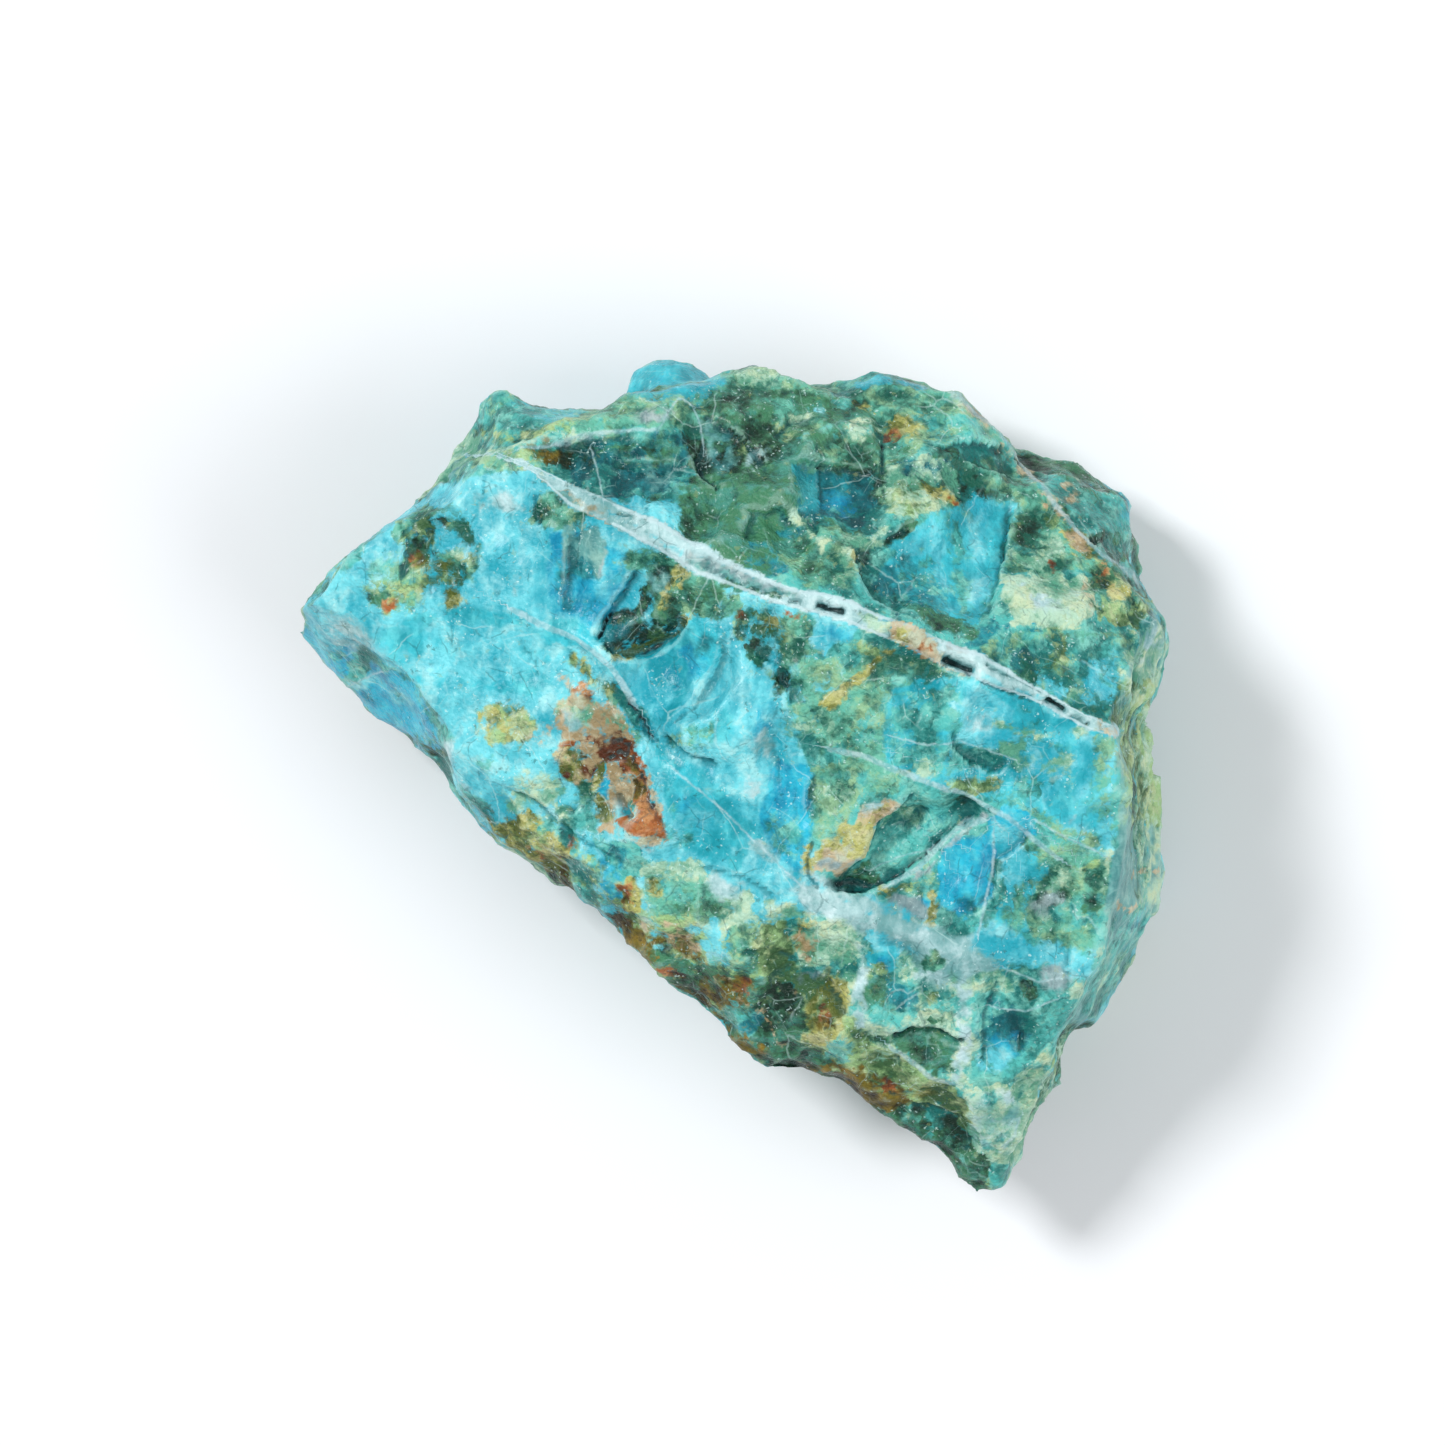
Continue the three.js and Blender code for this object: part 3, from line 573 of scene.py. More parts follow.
FAR_LEFT: tuple[Patch, ...] = (
    Area(TEAL, ((-41, 13.6), (-38, 14), (-36.2, 12.4), (-31, 10), (-28.3, 7.2), (-25.4, 3), (-26, -1.5),
        (-33, 4), (-40, 9))),
    Area(AZURE, ((-40.4, 13.4), (-37, 13.4), (-34.4, 11.2), (-35.6, 8.4), (-38.4, 8.2)), 0.8),
    Blot(CYAN, -37.2, 12.2, 1.8, 1.2, 0.6, -20),
    Area(AZURE, ((-34.4, 7), (-32.4, 10.2), (-29.4, 8.4), (-27.8, 5), (-26.4, 2.6), (-28, 1.4),
        (-31, 3.2)), 0.9),
    Blot(SKY, -30, 6.6, 1.3, 0.9, 0.4, -30),
    Blot(DEEP, -33.4, 7, 1, 0.8, 0.5, -30),
    Blot(DARK, -27.5, 2.4, 1.5, 0.8, 0.7, -35),
    Streak(SKY, ((-36.4, 6.9), (-34, 8.1), (-31.8, 8.9)), 0.7, 0.6),
    Streak(WHITE, ((-37.6, 14.8), (-35.8, 14.4), (-34.6, 13.2), (-33.8, 12.2)), 0.8, 0.4),
    Blot(DARK, -40, 13.3, 0.7, 0.5, 0.8),
    Blot(TEAL, -31.7, 18.7, 1.5, 1.1, 0.7),
    Blot(GREEN, -30.4, 16.4, 2.8, 2, 0.75, 20),
    Area(GREEN, ((-31, 22), (-28.4, 24.6), (-25, 24.2), (-22.6, 20.8), (-23.4, 17.6), (-27, 16.4),
        (-30.8, 18)), 0.6),
    Blot(WHITE, -37.6, 15.4, 1.6, 1, 0.6, 35),
    Blot(MOSS, -31.9, 15.8, 2.4, 1.6, 0.85, 10),
    Blot(DARK, -32.2, 16, 1.3, 0.9, 0.5),
    Blot(RUST, -31.2, 15.3, 0.8, 0.5, 0.7),
    Blot(OCHRE, -30.2, 16.6, 1, 0.7, 0.7, 20),
    Area(MOSS, ((-29.8, 21.4), (-28.6, 23.4), (-26.4, 23.2), (-24.4, 20.6), (-25.4, 18.6),
        (-29.4, 18.8)), 0.5),
    Area(DARK, ((-28.9, 21.4), (-28, 23.2), (-26.6, 23), (-26, 21.4), (-27.2, 20), (-28.6, 20)), 0.5),
    Blot(RUST, -28.4, 19.5, 0.9, 0.6, 0.45),
    Blot(OCHRE, -26, 19.5, 2.2, 0.9, 0.8, 10),
    Blot(MOSS, -27.6, 17.5, 2.8, 0.6, 0.7, 10),
    Blot(OCHRE, -29, 13.3, 1.3, 0.9, 0.6),
    Blot(MOSS, -27.2, 14.4, 2.2, 0.9, 0.4, 30),
    Blot(OCHRE, -25.3, 15.8, 1.4, 1.1, 0.6, 40),
    Blot(OCHRE, -22.4, 24.4, 1.4, 0.9, 0.4),
    Blot(WHITE, -21.4, 24.3, 2.3, 1.4, 0.65),
    Streak(WHITE, ((-20.4, 24), (-20.2, 20), (-19.9, 16.5)), 1.2, 0.45),
    Area(CYAN, ((-36, 12), (-30, 14), (-19, 16), (-15.6, 9), (-17, 7), (-23, 7.6), (-28, 8)), 0.55),
    Area(SKY, ((-22.6, 24), (-17, 24), (-17, 15), (-22.4, 15)), 0.6),
    Blot(CYAN, -18.6, 11.6, 1, 1.4, 0.7, 20),
    Area(MOSS, ((-23.2, 5.8), (-20.6, 6.8), (-17.8, 5.2), (-18.4, 2.6), (-22.2, 2.8)), 0.55),
    Blot(OCHRE, -21.2, 4.6, 2, 1.4, 0.65),
    Blot(PEACH, -18.4, 3.8, 1.6, 0.9, 0.5),
    Streak(WHITE, ((-25.8, 2.4), (-25.4, 0.6), (-24.6, -1.2)), 1.5, 0.6),
    Area(SKY, ((-40.4, 14.4), (-36, 18), (-32.4, 14.6), (-30.6, 11.2), (-33.4, 10.8), (-36.4, 12))),
    Area(SKY, ((-34.4, 13.2), (-26, 13.4), (-19, 14), (-16.4, 10.8), (-19, 8.6), (-25, 8.2),
        (-31, 9.4)), 0.8),
    Blot(CYAN, -30, 12.2, 2.6, 1.4, 0.8),
    Blot(WHITE, -34.8, 12.6, 2.2, 1.3, 0.7, -40),
    Blot(MINT, -25.4, 20, 1.4, 1, 0.5),
    Area(TEAL, ((-29, -0.4), (-26, -0.6), (-22.4, -2.6), (-20.4, -5.8), (-24, -6.4), (-29, -3)), 0.9),
    # Painted shadow along the lower left edge.
    Blot(DARK, -26.4, -3.6, 2.6, 1.2, 0.7, -30),
    Blot(TEAL, -21.6, 1.2, 1.6, 1.2, 0.35),
    Blot(MINT, -19.6, -1.4, 2.6, 1.2, 0.5, 10),
    Blot(TEAL, -14.4, -5.2, 2.6, 2.8, 0.55),
)

CORNER: tuple[Patch, ...] = (
    Area(SLATE, ((-28, 25), (-27, 30), (-24.5, 33.5), (-22.8, 30.8), (-23.6, 28.6), (-25, 27)), 0.6),
    Area(MINT, ((-26.4, 31.2), (-22.6, 31), (-23.4, 28.4), (-27, 26.4)), 0.7),
    Area(MINT, ((-24, 29.8), (-18, 30.6), (-14, 31.6), (-14, 30.6), (-18.6, 29.4), (-22, 28.2)), 0.6),
    Area(MOSS, ((-24, 31.4), (-18.5, 31.8), (-14, 31.8), (-15, 30.8), (-20, 30.4)), 0.6),
    Area(GREEN, ((-23.6, 28.6), (-20, 28.6), (-17.4, 27.6), (-20.4, 27.4)), 0.7),
    Area(TEAL, ((-24.5, 33.8), (-21.5, 35), (-14, 33.4), (-14, 32.2), (-19, 32), (-24.4, 31.8)), 0.8),
    Blot(CYAN, -16.8, 33.2, 2.4, 0.6, 0.7, -10),
)

SCOOPS: tuple[Patch, ...] = (
    Area(GREEN, ((-18.8, 23), (-17.6, 25.6), (-16, 25.6), (-13.4, 23.8), (-14, 21.6), (-16.4, 22.2)), 0.9),
    Blot(DARK, -17, 23.8, 1.2, 0.7, 0.6, 70),
    Area(AZURE, ((-16.8, 21.6), (-15.6, 22), (-12.4, 21), (-9.4, 20), (-10.4, 15.2), (-13, 12.4),
        (-16.4, 13.4), (-17, 16.6)), 0.8),
    Area(SLATE, ((-15.6, 22.6), (-12, 22.6), (-11.5, 21), (-12.2, 18), (-15.8, 18)), 0.9),
    Blot(DEEP, -14.4, 19.2, 1.3, 1.6, 0.45),
    Area(DEEP, ((-15.9, 18.4), (-12.1, 18.4), (-12.2, 16), (-13.6, 14.2), (-15.6, 14.6),
        (-16.2, 16.6)), 0.7),
    Blot(AZURE, -13.8, 16.2, 1.3, 1.4, 0.6),
    Streak(GREY, ((-12.1, 22.5), (-11.8, 20.4), (-12.2, 18.2)), 0.3, 0.5),
    Area(GREEN, ((-9, 20.6), (-4.6, 20.2), (-1.4, 18), (0.6, 15.6), (-1.6, 13.2), (-6.8, 15.4)), 0.85),
    Area(DARK, ((-5, 19.4), (-1.4, 17.4), (0.4, 15.6), (-1.6, 13.8), (-5, 16)), 0.5),
    Area(DARK, ((-12.2, 12.2), (-11.9, 14), (-10.6, 15.2), (-8.6, 15.6), (-8.2, 17.4), (-6.6, 18.6),
        (-5, 19), (-3.8, 17.6), (-3.6, 15.8), (-5.6, 13.2), (-8, 11.4), (-10.2, 10.8), (-11.6, 11.2)), 0.9),
    Blot(GREEN, -8.8, 19.4, 1.4, 1.2, 0.8),
    Blot(DARK, -1.6, 16.2, 2, 1.2, 0.6, -35),
    Blot(SKY, -10.6, 18, 0.9, 1.8, 0.55, 15),
    Blot(DEEP, -10.4, 13.3, 1.6, 1.2, 0.7, 30),
    Blot(SLATE, -7, 17.4, 1.3, 1.3, 0.5),
    Streak(OCHRE, ((-4.5, 18.6), (-5, 16.8), (-6.4, 15.4)), 0.9, 0.7),
    Streak(OCHRE, ((-10.4, 10.6), (-7.6, 11.2), (-5.2, 12.6), (-4, 13.6)), 1.1, 0.8),
    Blot(MOSS, -7.6, 12.2, 1.8, 0.8, 0.6, 30),
    Area(CYAN, ((-11.2, 9.4), (-9, 10.2), (-6.5, 11.2), (-3.6, 13.8), (-1.6, 13.2), (-1, 11), (-3, 8),
        (-5.5, 5.2), (-7.6, 4.6))),
    Area(AZURE, ((-9.4, 8.6), (-6.4, 10.8), (-3, 12.4), (-2, 9.4), (-5.4, 6), (-7.6, 5.4)), 0.45),
    Blot(DEEP, -2.4, 11.8, 1.9, 1.1, 0.45, 30),
    Area(SKY, ((-9.8, 8.8), (-7.4, 9.6), (-5, 7.4), (-7.2, 5), (-8.8, 6.4)), 0.65),
    Area(TEAL, ((-16, 11.6), (-13, 10.4), (-9.8, 6.6), (-8.6, 5), (-10, 5), (-12.4, 7.6)), 0.5),
    Streak(PEACH, ((-15.4, 8.6), (-14, 7.6), (-12.4, 6.4)), 1.4, 0.5),
    Streak(MOSS, ((-14.6, 10.3), (-12.8, 8.8), (-10.9, 6.6)), 1, 0.8),
    Blot(OCHRE, -13.4, 9.6, 1, 0.7, 0.7, -40),
    Blot(RUST, -13.8, 7.6, 0.9, 0.7, 0.75),
    Blot(OCHRE, -11.2, 7, 0.9, 0.8, 0.7, -45),
    Streak(TEAL, ((-9.9, 6.7), (-8.6, 4.9), (-6.9, 2.5)), 1.2, 0.8),
    # Painted shade in the crease along the hollow's lower left rim.
    Streak(DEEP, ((-9.4, 6.3), (-8.4, 4.7), (-7.2, 2.9)), 0.25, 0.45),
    Area(CYAN, ((-17, 14), (-14, 14), (-11.6, 11.8), (-13, 11), (-17, 11.6))),
    Streak(WHITE, ((-16.6, 13.2), (-14, 12), (-12.2, 10.8), (-10.6, 9)), 0.6, 0.3),
)

RUSTY_HEART: tuple[Patch, ...] = (
    Area(PEACH, ((-15.8, 6.6), (-14.4, 7.4), (-12.6, 6.6), (-10.2, 6), (-9.4, 4.2), (-8.6, 2.4),
        (-7.8, -0.4), (-6.2, -3.2), (-5.4, -5.4), (-6.6, -6.6), (-9.4, -6.2), (-12, -5.4), (-12.6, -2.6),
        (-15.4, -1), (-16.4, 1.4), (-15.6, 3.6), (-16, 5.6)), 0.88),
    Area(WHITE, ((-15.6, 6), (-13.6, 6.4), (-13.4, 4.4), (-15, 4)), 0.65),
    Blot(MINT, -11.6, 4.6, 1.6, 0.8, 0.5, -20),
    Blot(MINT, -13.6, 6, 1.6, 0.6, 0.5),
    Streak(MINT, ((-11.4, 6.8), (-9.8, 4.8), (-8.6, 3)), 0.6, 0.5),
    Blot(MINT, -16.4, -1.6, 1.4, 1, 0.5),
    Area(TEAL, ((-16, -3.4), (-13, -2.6), (-12.6, -5.4), (-14.6, -6)), 0.8),
    Blot(SKY, -14.6, -3.2, 1, 0.7, 0.5),
    Blot(GREEN, -13.4, -1.9, 1.1, 0.8, 0.7),
    Blot(OCHRE, -14.9, 0.6, 1.1, 1.9, 0.75),
    Blot(RUST, -15.1, 2.7, 0.7, 0.5, 0.6),
    Blot(BROWN, -13.7, 1.4, 0.4, 0.35, 0.7),
    Blot(RUST, -13.2, 0.2, 1.4, 0.9, 0.45),
    Blot(RUST, -15.5, -0.8, 0.6, 0.4, 0.6),
    Streak(RUST, ((-14.6, 3), (-12.8, 3.4), (-11, 3.1), (-9.6, 2.4), (-8.8, 1)), 0.8, 0.8),
    Streak(OCHRE, ((-12.2, 1.4), (-12.2, -1.6), (-11.9, -4)), 0.7, 0.8),
    Area(RUST, ((-12.8, 2.8), (-10, 3), (-8.6, 1.4), (-8.2, -0.4), (-9.4, 0), (-10.6, 0.9),
        (-12.6, 1)), 0.95),
    Streak(BROWN, ((-12, 1.9), (-10.6, 2.2), (-9.6, 1.4)), 0.5, 0.7),
    Blot(DARK, -11.3, 1.5, 0.7, 0.35, 0.6, 25),
    Blot(SLATE, -10.6, -0.9, 0.7, 0.9, 0.5),
    Blot(PEACH, -10.9, 0.3, 0.7, 0.4, 0.6),
    Blot(AZURE, -11.5, -1.2, 0.45, 0.7, 0.8),
    Blot(GREY, -10.4, -2.6, 0.8, 1.2, 0.5),
    Blot(DARK, -9.5, -2.7, 0.9, 0.8, 0.7),
    Area(RUST, ((-9.2, 1), (-8.3, 0), (-7.8, -1.8), (-6.4, -3.6), (-5.6, -5), (-6, -6.2), (-7.4, -5.7),
        (-9.8, -5.1), (-10.4, -4.4), (-8.7, -3.6), (-8.8, -1.6)), 0.95),
    Streak(BROWN, ((-9.1, 0.6), (-8.6, -1.2), (-8.2, -3)), 0.7, 0.8),
    Blot(BROWN, -6.3, -5, 0.7, 0.9, 0.7, -20),
    Streak(PEACH, ((-11.8, -5), (-9.6, -5.8), (-7.4, -6.3)), 0.8, 0.8),
    Blot(GREY, -7.4, -6.6, 1.1, 0.5, 0.6),
)

LOW_EDGE: tuple[Patch, ...] = (
    Area(MINT, ((-22, -2.6), (-18, -1.6), (-15, -3), (-15, -5), (-18, -4.8)), 0.6),
    Area(OCHRE, ((-23, -4.6), (-19, -3.8), (-17, -4.6), (-15, -6.2), (-14.6, -8), (-16, -10.4),
        (-19.4, -8.2)), 0.9),
    Blot(TEAL, -17, -4.9, 0.6, 0.8, 0.8),
    Streak(BROWN, ((-22, -5.4), (-19, -7.6), (-16.4, -9.4), (-14, -11.8)), 1.3, 0.6),
    Blot(MOSS, -17.6, -6.2, 1.8, 0.8, 0.6, -30),
    Blot(RUST, -16.6, -7.6, 1.6, 0.6, 0.4, -35),
    Blot(RUST, -14.5, -6.6, 0.7, 0.6, 0.6),
    Blot(OCHRE, -14, -7.6, 0.9, 0.7, 0.6),
    # Painted shadow along the low edge.
    Streak(DARK, ((-18.4, -9.8), (-15.4, -11.8), (-12, -13.4), (-10.4, -14.2)), 1.6, 0.85),
    Area(TEAL, ((-15.2, -8.4), (-13, -7.4), (-12, -9.6), (-11.4, -12.4), (-13.4, -12), (-15, -10.6)), 0.6),
    Blot(MINT, -11.9, -10.4, 0.9, 1.4, 0.5),
    Area(TEAL, ((-12.6, -6.2), (-9, -5.8), (-7.4, -8.4), (-9.4, -10), (-10.6, -12), (-11.8, -11.6),
        (-11.4, -8.6)), 0.95),
    Blot(DEEP, -10.4, -7.2, 1.6, 1.1, 0.4),
    Blot(AZURE, -11.2, -9.2, 0.6, 2, 0.6, 10),
    Area(MINT, ((-8.4, -8), (-3, -8), (2, -11), (8, -13), (3, -14.6), (-4, -13.8), (-9, -13.4)), 0.65),
    Area(OCHRE, ((-10.2, -9.8), (-8.4, -9.8), (-7.8, -11.6), (-9, -13), (-10.6, -12.6)), 0.95),
    Blot(RUST, -9.6, -10.9, 0.7, 0.9, 0.55),
    Streak(BROWN, ((-10.4, -10.8), (-10.2, -13.4)), 0.5, 0.8),
    Blot(WHITE, -7.2, -12.4, 1.2, 0.9, 0.5),
    Blot(GREEN, -4.2, -11.4, 3.6, 2, 0.95),
    Blot(DARK, -3.2, -12.3, 2.4, 0.8, 0.6),
    Blot(TEAL, -5, -10.6, 1.4, 0.8, 0.5),
    Blot(MOSS, -5.8, -13.3, 1.6, 0.7, 0.9),
    Blot(OCHRE, -7.2, -10.6, 0.7, 0.9, 0.5),
    Blot(WHITE, -0.6, -9.8, 1.8, 1.5, 0.75, -15),
    Area(PEACH, ((-10.4, -13), (-7.4, -12.9), (-4.4, -14), (-2.8, -15.2), (-3.6, -17), (-6.4, -15.4),
        (-9.6, -14.6)), 0.5),
    Streak(BROWN, ((-10.8, -13.6), (-7.6, -14.6), (-4.2, -15.6), (-2.4, -17.2)), 1.1, 0.6),
    Blot(SKY, -1, -15.4, 1.8, 1.5, 0.6, -20),
    Blot(TEAL, -1, -17, 1.2, 0.8, 0.5, -20),
    # Painted shadow along the low edge.
    Area(DARK, ((-10.4, -14.4), (-6, -15.4), (-3.4, -16.8), (0, -17.8), (3, -18.2), (6, -20), (7.4, -24),
        (9.4, -27.4), (5, -27.8), (1, -25.2), (-3, -22.8), (-6.4, -20), (-9.6, -17)), 0.85),
    Area(OCHRE, ((-8.4, -15.6), (-6.4, -15.6), (-5.6, -17.2), (-7, -17.8)), 0.75),
    Blot(RUST, -5.2, -17.6, 0.9, 0.4, 0.8, -30),
    Blot(BROWN, -9, -15.4, 2.8, 1.5, 0.85, -35),
    Area(BROWN, ((-2.8, -18.6), (0.6, -18.2), (2, -19.4), (1.2, -20.8), (-1.4, -21.6),
        (-3.4, -20.2)), 0.75),
    Blot(PEACH, -0.8, -18.6, 0.9, 0.5, 0.6),
    Blot(RUST, 0.5, -19.1, 0.6, 0.7, 0.7),
    Blot(TEAL, 0.6, -22, 1.6, 0.8, 0.9, -25),
    Blot(DEEP, 1.4, -22.6, 0.8, 0.6, 0.6),
    Streak(PEACH, ((0.2, -20.2), (1.6, -21), (3, -22.8), (4.6, -25)), 0.45, 0.5),
    Streak(BROWN, ((-7.6, -18.6), (-3.4, -22.2), (0.4, -24.2), (3, -25.8), (6, -27.6)), 1.9, 0.7),
    Area(GREEN, ((-0.2, -13.8), (2.6, -13.8), (2.4, -17.6), (-0.2, -17.6)), 0.8),
    Area(MOSS, ((2, -13.8), (5.2, -13.6), (5.4, -17.4), (2, -17.8)), 0.95),
    Area(MINT, ((5.2, -13.8), (8.6, -14), (8.8, -17.4), (5.4, -17.6)), 0.9),
    Blot(OCHRE, 6.6, -15.2, 1.2, 1.8, 0.8),
    Blot(RUST, 6.6, -16, 0.4, 0.7, 0.5),
    Area(GREY, ((4.2, -18.2), (9, -17.4), (8.8, -19.6), (6, -19.6)), 0.5),
    Blot(GREY, 7.4, -18.5, 1.2, 0.8, 0.7),
    Blot(PEACH, 7, -20.2, 1, 0.4, 0.5),
    Blot(PEACH, 6.6, -15.4, 1.7, 1.9, 0.5),
)

BLUE_HEART: tuple[Patch, ...] = (
    Area(SKY, ((-7, 3.4), (-0.6, 11.4), (2.6, 11.2), (5.4, 7), (6.6, 0), (6.4, -9.6), (0, -10),
        (-6, -6)), 0.8),
    Area(CYAN, ((-7.4, 3), (-4, 1.2), (-0.6, -1.4), (3, -6.2), (0.6, -8.6), (-4.6, -7.2), (-6, -3)), 0.75),
    Blot(AZURE, -3.6, -2.2, 2, 2.4, 0.4, 30),
    Blot(TEAL, -3.4, 3.4, 2.6, 1.5, 0.45, 10),
    Blot(GREEN, -3.8, 3.2, 1.6, 0.9, 0.5, 10),
    Area(AZURE, ((4, 1.6), (6.8, 0.8), (6.9, -3.6), (7.4, -5), (6.8, -9.4), (5.4, -9), (3.2, -6.4),
        (2.4, -2.6)), 0.8),
    Blot(TEAL, 5, -5.6, 1.6, 2.6, 0.45, 20),
    Blot(AZURE, 2.6, 4.6, 1.6, 1.8, 0.45),
    Blot(WHITE, 1.4, -1.6, 1.2, 1.4, 0.45),
    Blot(WHITE, 2.6, 2.6, 1.4, 1.2, 0.4),
    Blot(TEAL, -4.6, -4.8, 2, 2.2, 0.4),
    Blot(CYAN, -1.6, 4.2, 1.8, 1.8, 0.6),
    Area(GREEN, ((0.2, 15.6), (6, 14.2), (8, 13), (8.6, 11.4), (5.4, 9.8), (4, 8.2), (2.2, 10.6),
        (0, 12.6)), 0.9),
    Blot(MOSS, 2.6, 13.4, 2.2, 1.4, 0.6, -10),
    Blot(DARK, 2.6, 11.8, 0.9, 0.4, 0.4, -10),
    Blot(RUST, 4.9, 14.5, 0.8, 0.4, 0.6),
    Blot(OCHRE, 3.2, 14, 0.9, 0.7, 0.6),
    Blot(RUST, 0.6, 14.1, 0.5, 0.5, 0.6),
    Blot(DARK, 4.6, 8.2, 1.2, 0.9, 0.8, 40),
    Area(SKY, ((7, 15), (9.4, 14.8), (12, 13.8), (10.6, 12), (8.6, 11), (6.8, 12)), 0.85),
    Blot(AZURE, 9.6, 12.7, 1.2, 0.9, 0.75),
    Blot(MOSS, 12.2, 11.4, 1.8, 1.6, 0.6),
)

MIDDLE_GREEN: tuple[Patch, ...] = (
    Area(GREEN, ((6.6, 10.6), (12, 10.6), (19, 10), (20, 7), (19.6, 2.4), (14, 1), (8, 1.6),
        (4.8, 6)), 0.75),
    Blot(TEAL, 16.4, 7.6, 2.6, 1.8, 0.5),
    Streak(OCHRE, ((14.2, 11.4), (12.6, 9.8), (11, 8.2), (9, 6)), 0.7, 0.75),
    Blot(OCHRE, 8.9, 6.4, 0.9, 0.9, 0.5),
    Blot(SKY, 8.2, 8, 1, 0.7, 0.6),
    Blot(DEEP, 16.8, 4.4, 2.2, 1.7, 0.7),
    Blot(AZURE, 15.2, 2.5, 1.5, 1, 0.6, 20),
    Blot(MINT, 7.4, 4, 2.2, 1.6, 0.45),
    Area(CYAN, ((14.4, 7.6), (19.6, 8.4), (21.4, 8.8), (30, 5.6), (34.6, 3.4), (34.4, -6), (27, -4),
        (22, -2.4), (18.6, -1), (13.6, 1.4)), 0.75),
    Area(TEAL, ((14, 7), (20, 7.4), (26, 2.4), (20, 0), (14, 1)), 0.7),
    Area(SKY, ((20.4, 6.2), (22, 8.2), (25, 5.8), (26.4, 3.6), (24.4, 2.2), (21.2, 2.8)), 0.9),
    Blot(WHITE, 22.4, 4.6, 1.5, 1.2, 0.35),
    Blot(TEAL, 23.6, 1.2, 3, 0.9, 0.9),
    Area(SKY, ((26.4, 3.2), (30, 4.6), (34.6, 3), (34.6, -7.6), (31, -6), (27.6, -3)), 0.5),
    Blot(CYAN, 31.6, -1.6, 2.6, 3.6, 0.4),
    Streak(MINT, ((24.4, 2.6), (27.4, 0.8), (30.4, 1.2), (31, -0.8)), 1.3, 0.6),
    Streak(MINT, ((24.4, 4.6), (28, 3.4), (31.6, 3.8)), 0.9, 0.7),
    Streak(GREEN, ((25, -2.4), (28.6, -4.2), (33.4, -6.6)), 0.9, 0.6),
    Streak(WHITE, ((29, -0.6), (31.6, 0), (33.8, 1.2)), 0.5, 0.5),
    Streak(WHITE, ((30.6, -4.4), (32.6, -3), (34, -2.2)), 0.5, 0.4),
    Streak(GREEN, ((33.8, 3), (33.6, -0.6), (34, -4.4)), 1.5, 0.8),
    Area(GREEN, ((6.8, 1), (12, 1.2), (16.4, 0.6), (15, -1.2), (11, -3.6), (8, -5.8), (6.8, -4.4)), 0.9),
    Blot(MINT, 9.2, -1.8, 1.2, 0.8, 0.45),
    Blot(MINT, 17.6, 0.8, 1.2, 0.9, 0.6),
    Area(MOSS, ((19, -0.4), (24.4, -0.2), (24.8, -1.8), (20, -2)), 0.75),
    Blot(TEAL, 26.4, -1.2, 2.2, 1.2, 0.6),
)

